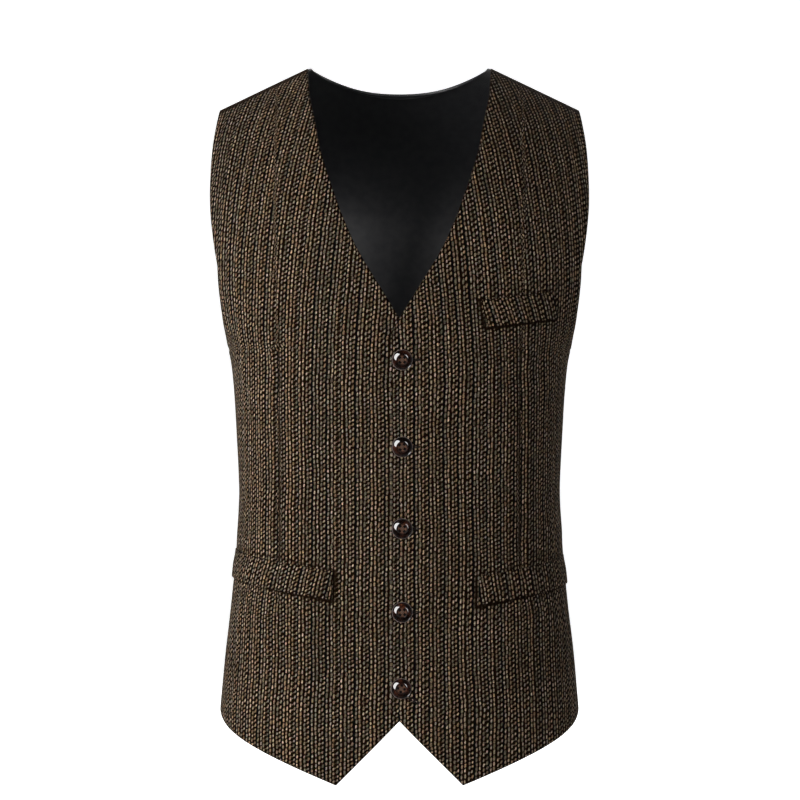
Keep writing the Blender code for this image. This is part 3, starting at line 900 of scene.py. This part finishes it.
buttonFinish = {
    "cloudScale": 190.0,
    "clouds": [
        (0.36, (0.0030, 0.0018, 0.0015)), (0.50, (0.0070, 0.0030, 0.0020)),
        (0.60, (0.026, 0.0075, 0.0040)), (0.74, (0.075, 0.022, 0.009)),
    ],
    # where each starts and where it is full, as shares of the radius, then its colour
    "hollow": (0.46, 0.36, (0.105, 0.052, 0.033)),
    "hollowShare": 0.85,
    # a pale ring round the rim: a painted reflection
    "rimReflection": (0.955, 0.985, (0.17, 0.135, 0.13)),
    # the holes painted near black: painted shade
    "holeShade": (0.0012, 0.0010, 0.0010),
    "mattFrom": (0.54, 0.51),
    # of the polished ring and of the matt hollow
    "roughness": (0.12, 0.55),
    "coat": (0.9, 0.0),
    "gloss": (0.65, 0.10),
    "coatRoughness": 0.05,
}


def makeButtonMaterial():
    # polished oxblood with darker tortoiseshell clouds, a paler hollow, a pale rim that is a painted
    # reflection, and holes in painted shade
    material, tree, shader = startMaterial("buttonOxblood")
    place = addNode(tree, "ShaderNodeTexCoord")
    cloud = noiseOf(tree, place.outputs["Object"], buttonFinish["cloudScale"], 3.0, 0.6)[0]
    colour = colourRamp(tree, cloud, buttonFinish["clouds"])
    reach = addNode(tree, "ShaderNodeAttribute", attribute_name="reach").outputs["Fac"]
    holeShade = addNode(tree, "ShaderNodeAttribute", attribute_name="holeShade").outputs["Fac"]
    for name, most in (("hollow", buttonFinish["hollowShare"]), ("rimReflection", 1.0)):
        begins, full, tint = buttonFinish[name]
        colour = mixColours(tree, rangeOf(tree, reach, begins, full, 0.0, most), colour, tint)
    matt = rangeOf(tree, reach, *buttonFinish["mattFrom"])
    feedAll(tree, shader, {
        "Base Color": mixColours(tree, holeShade, colour, buttonFinish["holeShade"]),
        "Roughness": between(tree, matt, *buttonFinish["roughness"]),
        "Coat Weight": between(tree, matt, *buttonFinish["coat"]),
        "Specular IOR Level": between(tree, matt, *buttonFinish["gloss"]),
        "Coat Roughness": buttonFinish["coatRoughness"],
    })
    return material


threadFinish = {"fibreScale": 1800.0, "shadow": 0.45, "roughness": 0.8, "gloss": 0.1, "bump": (0.4, 0.0002)}


def makeThreadMaterial(name, colour):
    material, tree, shader = startMaterial(name)
    place = addNode(tree, "ShaderNodeTexCoord")
    fibres = noiseOf(tree, place.outputs["Object"], threadFinish["fibreScale"])[0]
    dark = tuple(threadFinish["shadow"] * part for part in colour)
    feedAll(tree, shader, {
        "Base Color": mixColours(tree, fibres, dark, colour),
        "Roughness": threadFinish["roughness"],
        "Specular IOR Level": threadFinish["gloss"],
        "Normal": bumpOf(tree, fibres, *threadFinish["bump"]),
    })
    return material


tweedFront = makeTweed("tweedFront", brightness=1.03, bump=0.8, hasDart=True)
tweedWelt = makeTweed("tweedWelt", brightness=1.03, bump=0.8)
# a darker copy of the tweed for the rolled edges and the welts' inner faces and rims: painted shade
tweedEdgeShade = makeTweed("tweedEdgeShade", brightness=0.3, bump=0.6)
blackBack = makePlainCloth("blackBack", {
    "dark": (0.0085, 0.0085, 0.0095), "light": (0.0115, 0.0115, 0.0130),
    "twill": 6500.0, "roughness": 0.46, "sheen": 0.22,
})
blackLining = makePlainCloth("blackLining", {
    "dark": (0.005, 0.005, 0.006), "light": (0.012, 0.012, 0.013),
    "twill": 12000.0, "roughness": 0.42, "sheen": 0.1,
})
buttonOxblood = makeButtonMaterial()
brownThread = makeThreadMaterial("brownThread", (0.15, 0.10, 0.075))
blackThread = makeThreadMaterial("blackThread", (0.010, 0.008, 0.007))
print("materials ready")

grainLean = {
    "from": -300,  # above this height the grain leans towards the neck
    "most": 0.27,
    "over": 290,
    "climb": {"left": -0.24, "right": 0.06},  # how much the rows climb beyond the dart, to each side
    "climbOver": (-560, -480),
    "dartShift": 4.6,  # cloth that the dart takes up
    "dartShiftOver": (-520, -480),
}

frontCreases = {
    # each row: start along and up the cloth, end, width, height
    "left": [
        (150, -262, 96, -300, 9, -1.1), (172, -268, 128, -318, 10, 0.9), (20, -392, 96, -376, 12, -0.8),
        (26, -418, 120, -428, 13, 0.7), (200, -398, 130, -410, 12, -1.0), (206, -430, 140, -446, 12, 0.8),
        (70, -500, 66, -640, 16, 0.8), (120, -520, 134, -620, 18, -0.8), (180, -505, 190, -600, 14, 0.9),
        (88, -70, 100, -150, 14, 0.7), (120, -90, 112, -190, 14, -0.8),
    ],
    "right": [
        (144, -258, 90, -302, 9, -1.2), (170, -270, 122, -322, 10, 0.9), (18, -384, 90, -398, 12, -0.7),
        (30, -440, 124, -424, 13, 0.8), (204, -404, 128, -398, 12, -0.9), (198, -436, 136, -452, 12, 0.9),
        (66, -510, 60, -650, 16, 0.7), (112, -530, 128, -630, 18, -0.9), (176, -510, 188, -600, 14, 0.8),
        (86, -80, 96, -160, 14, 0.8), (124, -86, 116, -180, 14, -0.7),
    ],
}


def leanGrain(u, v, side):
    # the weave's own directions over the panel, from the plain distances round and up
    rise = np.clip(v - grainLean["from"], 0.0, None)
    leaned = u + grainLean["most"] * rise ** 2 / (2 * grainLean["over"])
    beyond = np.clip(u - frontCut["dartColumn"], 0.0, None)
    isBeyond = (beyond > 0.01) * blend(v, *grainLean["dartShiftOver"])
    climb = grainLean["climb"][side] * beyond * blend(v, *grainLean["climbOver"])
    return leaned + isBeyond * grainLean["dartShift"], v + climb


def addDart(points, normals, u, v):
    top, foot, fade = frontCut["dartTop"], frontCut["dartBottom"], frontCut["dartFade"]
    depth = frontCut["dartDepth"] * blend(v, top, top - fade) * blend(v, foot, foot + fade)
    near = np.clip(1 - np.abs(u - frontCut["dartColumn"]) / frontCut["dartReach"], 0.0, 1.0)
    return points - normals * (depth * near ** frontCut["dartRoundness"])[:, :, None]


def makeFront(name, side, reach, rise):
    points, u, v = frontPanel(reach, rise)
    normals = panelNormals(points)
    points = addDart(points, normals, u, v)
    points = addCreases(points, normals, u, v, frontCreases[side])
    normals = panelNormals(points)
    smooth = {"points": points, "normals": normals, "u": u}
    sheet = (points, normals, *leanGrain(u, v, side), np.stack([u, v], axis=-1))
    if side == "right":
        sheet = mirrored(*sheet)
    return clothShell(name, *sheet, frontCut["cloth"], [tweedFront, blackLining, tweedEdgeShade]), smooth


leftFront, leftCloth = makeFront("leftFront", "left", frontCut["lappingReach"], frontCut["lapRise"])
rightFront, rightCloth = makeFront("rightFront", "right", frontCut["underReach"], 0.0)
for piece, node in ((leftFront, "front_left"), (rightFront, "front_right")):
    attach(piece, "root")
    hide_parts(node)
print("fronts made")

backCreases = [
    # start along and up the cloth, end, width, height
    (-70, -372, 60, -392, 10, -2.0), (-110, -398, 10, -416, 9, 1.8), (20, -352, 126, -372, 9, 1.7),
    (-20, -430, 100, -424, 11, -1.7), (96, -396, 176, -410, 9, -1.6), (-190, -392, -104, -372, 9, -1.7),
    (-30, -190, -92, -292, 14, 1.9), (36, -200, 96, -306, 14, -1.9), (-118, -238, -154, -330, 10, -1.7),
    (116, -246, 154, -340, 10, 1.7), (-44, -462, -66, -590, 15, 1.8), (52, -470, 70, -590, 15, -1.8),
    (-120, -480, -136, -590, 13, -1.5), (122, -470, 134, -588, 13, 1.6),
    (-70, -60, -92, -168, 13, 1.7), (62, -58, 88, -156, 13, 1.7), (-8, -70, -14, -190, 15, -1.2),
]


def makeBack():
    points, u, v = backPanel()
    # the two rows at the neck and the shoulder seam stay smooth
    points[:-2] = addCreases(points.copy(), panelNormals(points), u, v, backCreases)[:-2]
    return clothShell(
        "blackBackPanel", points, panelNormals(points), u, v, np.stack([u, v], axis=-1), backCut["cloth"],
        [blackBack, blackLining, blackBack],
    )


blackPanel = makeBack()
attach(blackPanel, "root")
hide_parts("back")
print("back made")

weltCut = {
    # node, side, distances round to its ends, heights of its top corners, depth, how far its lower corners
    # and its grain lean
    "chestWelt": ("chest_welt", "left", 75, 147, -223, -214, 25, 5, 0.30),
    "leftPocketWelt": ("pocket_welt_left", "left", 73, 188, -478, -461, 27, -1, 0.12),
    "rightPocketWelt": ("pocket_welt_right", "right", 61, 188, -473, -455, 27, 1, 0.22),
}
weltSettings = {
    "cloth": 2.2,
    "topCloth": 0.9,  # the top edge is pressed flat
    "pressedDepth": 0.6,  # down to this share of the welt
    "gap": 0.4,
    "lowerLift": 0.7,  # the lower edge stands off a little
    "columnStep": 3.0,
    "rowStep": 2.5,
    # how far each line of painted shade is moved out and up, its width, and how dark and deep it is: a
    # painted shadow below, and shade in the gap above and at the front end
    "seams": {"below": (0, -1.7, 3.8, 0.95), "above": (0, 0.9, 1.8, 0.55), "front": (-1.2, 0, 2.6, 0.9)},
    "shoulderSeam": (3.2, 0.9),  # the width and darkness of the dark seam on each shoulder, where the black back shows
}


def clothAt(cloth, out, height):
    # a point and the normal on a front at a distance round from the centre line and a height
    levels = cloth["points"][:, 0, 2]
    row = int(np.argmax(levels >= height))
    up = (height - levels[row - 1]) / (levels[row] - levels[row - 1])
    found = []
    for at in (row - 1, row):
        found.append([
            [np.interp(out, cloth["u"][at], cloth[name][at, :, axis]) for axis in range(3)]
            for name in ("points", "normals")
        ])
    low, high = np.array(found[0]), np.array(found[1])
    point, normal = low * (1 - up) + high * up
    return point, normal / np.linalg.norm(normal)


def makeWelt(name, settings):
    node, side, inner, outer, innerTop, outerTop, depth, lean, grainSlope = settings
    cloth = leftCloth if side == "left" else rightCloth
    columns = int((outer - inner) / weltSettings["columnStep"]) + 1
    rows = int(depth / weltSettings["rowStep"]) + 1
    down = np.linspace(1.0, 0.0, rows)[:, None]
    share = np.linspace(0.0, 1.0, columns)[None, :]
    outs = inner + (outer - inner) * share + lean * down
    heights = innerTop + (outerTop - innerTop) * share - depth * down
    points = np.zeros((rows, columns, 3))
    normals = np.zeros((rows, columns, 3))
    for place in np.ndindex(rows, columns):
        point, normal = clothAt(cloth, outs[place], heights[place])
        lift = frontCut["cloth"] + weltSettings["gap"] + weltSettings["lowerLift"] * down[place[0], 0]
        points[place] = point + normal * lift
        normals[place] = normal
    u, v = outs + grainSlope * heights, heights
    sheet = (points, normals, u, v, np.stack([u, v], axis=-1))
    if side == "right":
        sheet = mirrored(*sheet)
    thin = weltSettings["topCloth"]
    pressed = blend(down, 0.0, weltSettings["pressedDepth"])[:, :, None]
    thickness = thin + (weltSettings["cloth"] - thin) * pressed
    piece = clothShell(name, *sheet, thickness, [tweedWelt, tweedEdgeShade, tweedEdgeShade])
    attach(piece, "root")
    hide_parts(node)
    return piece


def weltShadeLines(settings):
    # painted shade round a welt: a painted shadow below it, and shade above it and at its front end, where
    # the cloth sinks in
    side, inner, outer, innerTop, outerTop, depth, lean = settings[1:8]
    sign, cloth = (1, leftCloth) if side == "left" else (-1, rightCloth)
    corners = []
    for down in (0, 1):
        for out, top in ((inner, innerTop), (outer, outerTop)):
            height = top - depth * down
            point = clothAt(cloth, out + lean * down, height)[0]
            corners.append(Vector((sign * point[0], 0.0, height)) * mm)
    innerHigh, outerHigh, innerLow, outerLow = corners
    ends = {"below": (innerLow, outerLow), "above": (innerHigh, outerHigh), "front": (innerHigh, innerLow)}
    made = []
    for name, (out, up, width, dark) in weltSettings["seams"].items():
        start, end = ends[name]
        moved = Vector((sign * out, 0.0, up)) * mm
        made.append((start + moved, end + moved, width * mm, dark))
    return made


def shoulderLine(cloth, sign):
    # the black back turns over the shoulder, so the tweed ends in a dark line
    width, dark = weltSettings["shoulderSeam"]
    ends = [Vector((sign * point[0], 0.0, point[2])) * mm for point in cloth["points"][-1, [0, -1]]]
    return (*ends, width * mm, dark)


welts = [makeWelt(name, settings) for name, settings in weltCut.items()]
# painted shade round the welts, and on each shoulder the dark seam where the black back shows
seamAndShadeLines = [line for settings in weltCut.values() for line in weltShadeLines(settings)]
seamAndShadeLines += [shoulderLine(leftCloth, 1), shoulderLine(rightCloth, -1)]
paintSeamsAndShade(tweedFront, seamAndShadeLines)
print("welts made")

buttonShape = {
    # radius and height of the turned profile
    "profile": [
        (0.0, 1.90), (2.4, 1.92), (3.4, 2.02), (4.1, 2.40), (4.4, 2.90), (4.7, 3.22), (5.1, 3.32),
        (5.6, 3.20), (6.3, 2.90), (7.0, 2.52), (7.7, 2.10), (8.3, 1.68), (8.8, 1.26), (9.2, 0.90),
        (9.5, 0.62), (9.5, 0.40), (9.3, 0.15), (7.4, 0.0), (0.0, 0.0),
    ],
    "radius": 9.5,
    "steps": 72,
    "holeSides": 20,
    "holeRadius": 1.4,
    "holeOut": 2.05,
    "holeBase": 0.4,
    "holeCutter": 20,  # long enough to pass the button's top
    "pitHeights": (0.3, 1.75),
    "pitMargin": 0.03,
    "softEdge": 0.22,
    "sharpFrom": 40,
    "seat": 0.35,  # how far it stands off the cloth
    # how far each one has turned on its thread
    "turns": {"button_1": 2, "button_2": 8, "button_3": -6, "button_4": 4, "button_5": 36},
}


def makeActive(*pieces):
    # the first piece is the active one, and all are selected
    bpy.ops.object.select_all(action="DESELECT")
    for piece in pieces:
        piece.select_set(True)
    bpy.context.view_layer.objects.active = pieces[0]


def closeMesh(piece, mergeWithin=None, inside=False, spinSteps=None):
    # spins a profile round if asked, merges doubled points and turns the faces the right way
    makeActive(piece)
    bpy.ops.object.mode_set(mode="EDIT")
    bpy.ops.mesh.select_all(action="SELECT")
    if spinSteps:
        bpy.ops.mesh.spin(steps=spinSteps, angle=2 * math.pi, center=(0, 0, 0), axis=(0, 0, 1))
        bpy.ops.mesh.select_all(action="SELECT")
    if mergeWithin:
        bpy.ops.mesh.remove_doubles(threshold=mergeWithin * mm)
    bpy.ops.mesh.normals_make_consistent(inside=inside)
    bpy.ops.object.mode_set(mode="OBJECT")


def profileObject(name, corners):
    # a line of points in the plane of x and z, ready to be spun round
    mesh = bpy.data.meshes.new(name)
    links = [(place, place + 1) for place in range(len(corners) - 1)]
    mesh.from_pydata([(out, 0.0, up) for out, up in corners], links, [])
    return placeObject(name, mesh)


def modelButton():
    # the profile is spun round, closed, and pierced by four holes
    corners = [(radius * mm, height * mm) for radius, height in buttonShape["profile"]]
    button = profileObject("turnedButton", corners)
    closeMesh(button, mergeWithin=0.02, spinSteps=buttonShape["steps"])
    out, length = buttonShape["holeOut"], buttonShape["holeCutter"]
    for across in (-1, 1):
        for up in (-1, 1):
            bpy.ops.mesh.primitive_cylinder_add(
                vertices=buttonShape["holeSides"], radius=buttonShape["holeRadius"] * mm, depth=length * mm,
                location=Vector((across * out, up * out, buttonShape["holeBase"] + length / 2)) * mm,
            )
            cutter = bpy.context.object
            makeActive(button)
            hole = button.modifiers.new("hole", "BOOLEAN")
            hole.operation = "DIFFERENCE"
            hole.object = cutter
            bpy.ops.object.modifier_apply(modifier="hole")
            bpy.data.objects.remove(cutter, do_unlink=True)
    sharpFrom = math.radians(buttonShape["sharpFrom"])
    soften = button.modifiers.new("soften", "BEVEL")
    soften.width = buttonShape["softEdge"] * mm
    soften.segments = 2
    soften.limit_method = "ANGLE"
    soften.angle_limit = sharpFrom
    bpy.ops.object.modifier_apply(modifier="soften")
    bpy.ops.object.shade_smooth_by_angle(angle=sharpFrom)
    # how far each point is from the middle, and whether it is in a hole, where shade is painted, for the
    # finish
    reaches, holeShades = [], []
    low, high = buttonShape["pitHeights"]
    widest = buttonShape["holeRadius"] + buttonShape["pitMargin"]
    for vertex in button.data.vertices:
        x, y, z = vertex.co / mm
        reaches.append(math.hypot(x, y) / buttonShape["radius"])
        holeShades.append(float(math.hypot(abs(x) - out, abs(y) - out) < widest and low < z < high))
    for name, values in (("reach", reaches), ("holeShade", holeShades)):
        button.data.attributes.new(name, "FLOAT", "POINT").data.foreach_set("value", values)
    return button


threadShape = {
    # share of the way out to a hole, then height over the button's seat
    "bar": [(-0.62, 0.4), (-0.62, 1.6), (-0.5, 2.0), (0.0, 2.15), (0.5, 2.0), (0.62, 1.6), (0.62, 0.4)],
    "overBar": 0.15,  # one bar of the cross lies over the other
    "halfThick": 0.18,
    "strandsAside": 0.14,
}


def modelThread():
    # a cross of thread over the button's face, which runs down through the holes
    bars = []
    for across in (-1, 1):
        for strand in (-1, 1):
            path = bpy.data.curves.new("threadBar", "CURVE")
            path.dimensions = "3D"
            path.bevel_depth = threadShape["halfThick"] * mm
            path.bevel_resolution = 2
            path.use_fill_caps = True
            spline = path.splines.new("POLY")
            spline.points.add(len(threadShape["bar"]) - 1)
            aside = strand * threadShape["strandsAside"]
            for point, (share, height) in zip(spline.points, threadShape["bar"]):
                out = share * buttonShape["holeOut"]
                if share == 0.0 and across > 0:
                    height += threadShape["overBar"]
                point.co = ((out - across * aside) * mm, (across * out + aside) * mm, height * mm, 1.0)
            bar = placeObject("threadBar", path)
            makeActive(bar)
            bpy.ops.object.convert(target="MESH")
            bars.append(bpy.context.object)
    makeActive(*bars)
    bpy.ops.object.join()
    thread = bpy.context.object
    closeMesh(thread, mergeWithin=0.01)
    bpy.ops.object.shade_smooth()
    return thread


def placeCopy(model, name, matrix, material):
    piece = placeObject(name, model.data.copy())
    piece.data.transform(matrix)
    piece.data.materials.clear()
    piece.data.materials.append(material)
    return piece


def middleOf(node):
    low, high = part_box(node)
    return (Vector(low) + Vector(high)) / 2


def buttonMatrix(node, turn):
    # the model's own button gives the place, and the cloth under it the tilt
    middle = middleOf(node)
    point, normal = clothAt(leftCloth, middle.x / mm, middle.z / mm)
    normal = Vector(normal)
    lift = (frontCut["cloth"] + buttonShape["seat"]) * mm
    seat = Vector((middle.x, point[1] * mm, middle.z)) + normal * lift
    tilt = normal.to_track_quat("Z", "Y").to_matrix().to_4x4()
    return Matrix.Translation(seat) @ tilt @ Matrix.Rotation(math.radians(turn), 4, "Z")


buttonModel = modelButton()
threadModel = modelThread()
for place, (node, turn) in enumerate(buttonShape["turns"].items(), 1):
    matrix = buttonMatrix(node, turn)
    disc = placeCopy(buttonModel, f"roundButton{place}", matrix, buttonOxblood)
    stitches = placeCopy(threadModel, f"buttonThread{place}", matrix, brownThread)
    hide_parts(node)
    for piece in (disc, stitches):
        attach(piece, "root")
for model in (buttonModel, threadModel):
    bpy.data.objects.remove(model, do_unlink=True)
print("buttons made")

buttonholeShape = {
    "length": 18.5,
    "fromCentre": 6.2,
    "steps": 60,
    "thickness": 0.35,
    "roundness": (0.35, 0.9),  # of its ends and of its sides
    # each corner of the ring's section: past the slot's end, out to its side, and a share of the thickness
    "section": [(0.0, 0.25, 0.05), (0.4, 0.70, 0.9), (0.9, 0.94, 0.8), (1.2, 1.30, 0.05)],
}


def makeButtonhole(name, node):
    # a close ring of thread round the slot, flat on the cloth
    middle = middleOf(node)
    half = buttonholeShape["length"] / 2
    endPower, sidePower = buttonholeShape["roundness"]
    vertices = []
    for step in range(buttonholeShape["steps"]):
        turn = 2 * math.pi * step / buttonholeShape["steps"]
        along = math.copysign(abs(math.cos(turn)) ** endPower, math.cos(turn))
        across = math.copysign(abs(math.sin(turn)) ** sidePower, math.sin(turn))
        for past, aside, lift in buttonholeShape["section"]:
            out = middle.x / mm + buttonholeShape["fromCentre"] + along * (half + past)
            point, normal = clothAt(leftCloth, out, middle.z / mm + across * aside)
            raised = frontCut["cloth"] + lift * buttonholeShape["thickness"]
            vertices.append(Vector(point + normal * raised) * mm)
    corners = len(buttonholeShape["section"])
    faces = []
    for here in range(0, len(vertices), corners):
        there = (here + corners) % len(vertices)
        for edge in range(corners):
            after = (edge + 1) % corners
            faces.append((here + edge, there + edge, there + after, here + after))
    mesh = bpy.data.meshes.new(name)
    mesh.from_pydata(vertices, [], faces)
    mesh.materials.append(blackThread)
    piece = placeObject(name, mesh)
    closeMesh(piece)
    bpy.ops.object.shade_smooth()
    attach(piece, "root")


for place, node in enumerate(buttonShape["turns"], 1):
    makeButtonhole(f"buttonhole{place}", node)
print("buttonholes made")

studio = {
    "floorHeight": -0.86,
    "floorRadius": 6.5,
    "cornerRadius": 2.6,
    "cornerSteps": 12,
    "turnSteps": 64,
    "wallHeight": 6.0,
    "floorColour": (0.93, 0.93, 0.93),
    "floorRoughness": 0.9,
    "floorGloss": 0.1,
    "floorGlow": (0.05, 0.75),  # what it gives the cloth, and what the camera sees
    "skyLight": 0.16,
    "wallGlow": 0.14,
    "wallsInGloss": [(0.28, 0.02), (0.42, 1.0), (0.56, 1.0), (0.72, 0.08)],  # from the front to the back
    # the way to each card that only gloss mirrors, how far it spreads in degrees, and its strength
    "cardsInGloss": [
        ((-0.62, -0.72, 0.30), 23, 9.0), ((0.40, -0.88, 0.22), 11, 8.0), ((0.705, 0.08, -0.705), 10, 4.0),
        ((0.50, 0.62, 0.60), 24, 4.5),
    ],
    "cardSoftness": 2,
    # place, size and power of each lamp, and the height that it is turned to
    "lamps": {
        "keyLight": ((-2.35, -2.55, -0.45), (2.1, 2.3), 142, -0.42),
        "sideLight": ((-3.2, -0.6, 0.0), (1.2, 2.0), 34, -0.35),
        "fillLight": ((2.6, -2.4, -0.1), (1.4, 2.2), 5, -0.35),
        "backLight": ((0.5, 3.3, 0.6), (1.4, 1.8), 30, -0.35),
    },
}


def makeStage():
    # a round floor that curves up into a wall
    radius, corner, base = studio["floorRadius"], studio["cornerRadius"], studio["floorHeight"]
    profile = [(0.0, base), (radius, base)]
    for step in range(1, studio["cornerSteps"] + 1):
        turn = math.radians(90 * step / studio["cornerSteps"])
        profile.append((radius + corner * math.sin(turn), base + corner * (1 - math.cos(turn))))
    profile.append((radius + corner, base + studio["wallHeight"]))
    stage = profileObject("studioFloor", profile)
    closeMesh(stage, mergeWithin=0.5, inside=True, spinSteps=studio["turnSteps"])
    bpy.ops.object.shade_smooth()
    material, tree, shader = startMaterial("paleFloor")
    rays = addNode(tree, "ShaderNodeLightPath")
    feedAll(tree, shader, {
        "Base Color": studio["floorColour"],
        "Roughness": studio["floorRoughness"],
        "Specular IOR Level": studio["floorGloss"],
        "Emission Color": (1.0, 1.0, 1.0),
        "Emission Strength": between(tree, rays.outputs["Is Camera Ray"], *studio["floorGlow"]),
    })
    stage.data.materials.append(material)
    stage.visible_glossy = False  # the buttons mirror the cards alone


def addLamp(name, place, size, power, aimHeight):
    data = bpy.data.lights.new(name, "AREA")
    data.shape = "RECTANGLE"
    data.size, data.size_y = size
    data.energy = power
    lamp = placeObject(name, data)
    lamp.location = place
    lamp.rotation_euler = (Vector((0, 0, aimHeight)) - Vector(place)).to_track_quat("-Z", "Y").to_euler()
    lamp.visible_glossy = False  # gloss mirrors the cards instead


def paintSky():
    # even light, and for gloss a dark room in front, a pale wall behind and a few bright cards
    world = bpy.context.scene.world or bpy.data.worlds.new("studioSky")
    bpy.context.scene.world = world
    world.use_nodes = True
    sky = world.node_tree
    way = addNode(sky, "ShaderNodeTexCoord").outputs["Generated"]
    turned = rangeOf(sky, partsOf(sky, way)[1], -1.0, 1.0, 0.0, 1.0, False)
    walls = colourRamp(sky, turned, [(place, (share,) * 3) for place, share in studio["wallsInGloss"]])
    mirror = times(sky, walls, studio["wallGlow"])
    for toCard, spread, strength in studio["cardsInGloss"]:
        along = vectorCalc(sky, "DOT_PRODUCT", way, Vector(toCard).normalized())
        edges = [math.cos(math.radians(angle)) for angle in (spread + studio["cardSoftness"], spread)]
        mirror = plus(sky, mirror, rangeOf(sky, along, *edges, 0.0, strength))
    rays = addNode(sky, "ShaderNodeLightPath")
    glossy = times(sky, rays.outputs["Is Glossy Ray"], minus(sky, mirror, studio["skyLight"]))
    shine = plus(sky, glossy, studio["skyLight"])
    feedAll(sky, sky.nodes["Background"], {
        "Color": (1.0, 1.0, 1.0),
        "Strength": calc(sky, "MAXIMUM", shine, rays.outputs["Is Camera Ray"]),
    })


makeStage()
for name, settings in studio["lamps"].items():
    addLamp(name, *settings)
paintSky()
bpy.context.scene.view_settings.view_transform = "Standard"

view = {"aside": 0.00048, "distance": 3.5, "height": -0.3154, "frameWidth": 0.76, "sensor": 36.0}
cameraData = bpy.data.cameras.new("photoCamera")
cameraData.sensor_width = view["sensor"]
cameraData.lens = view["sensor"] * view["distance"] / view["frameWidth"]
camera = placeObject("photoCamera", cameraData)
camera.location = (view["aside"], -view["distance"], view["height"])
camera.rotation_euler = (math.radians(90), 0, 0)
bpy.context.scene.camera = camera
print("studio ready")
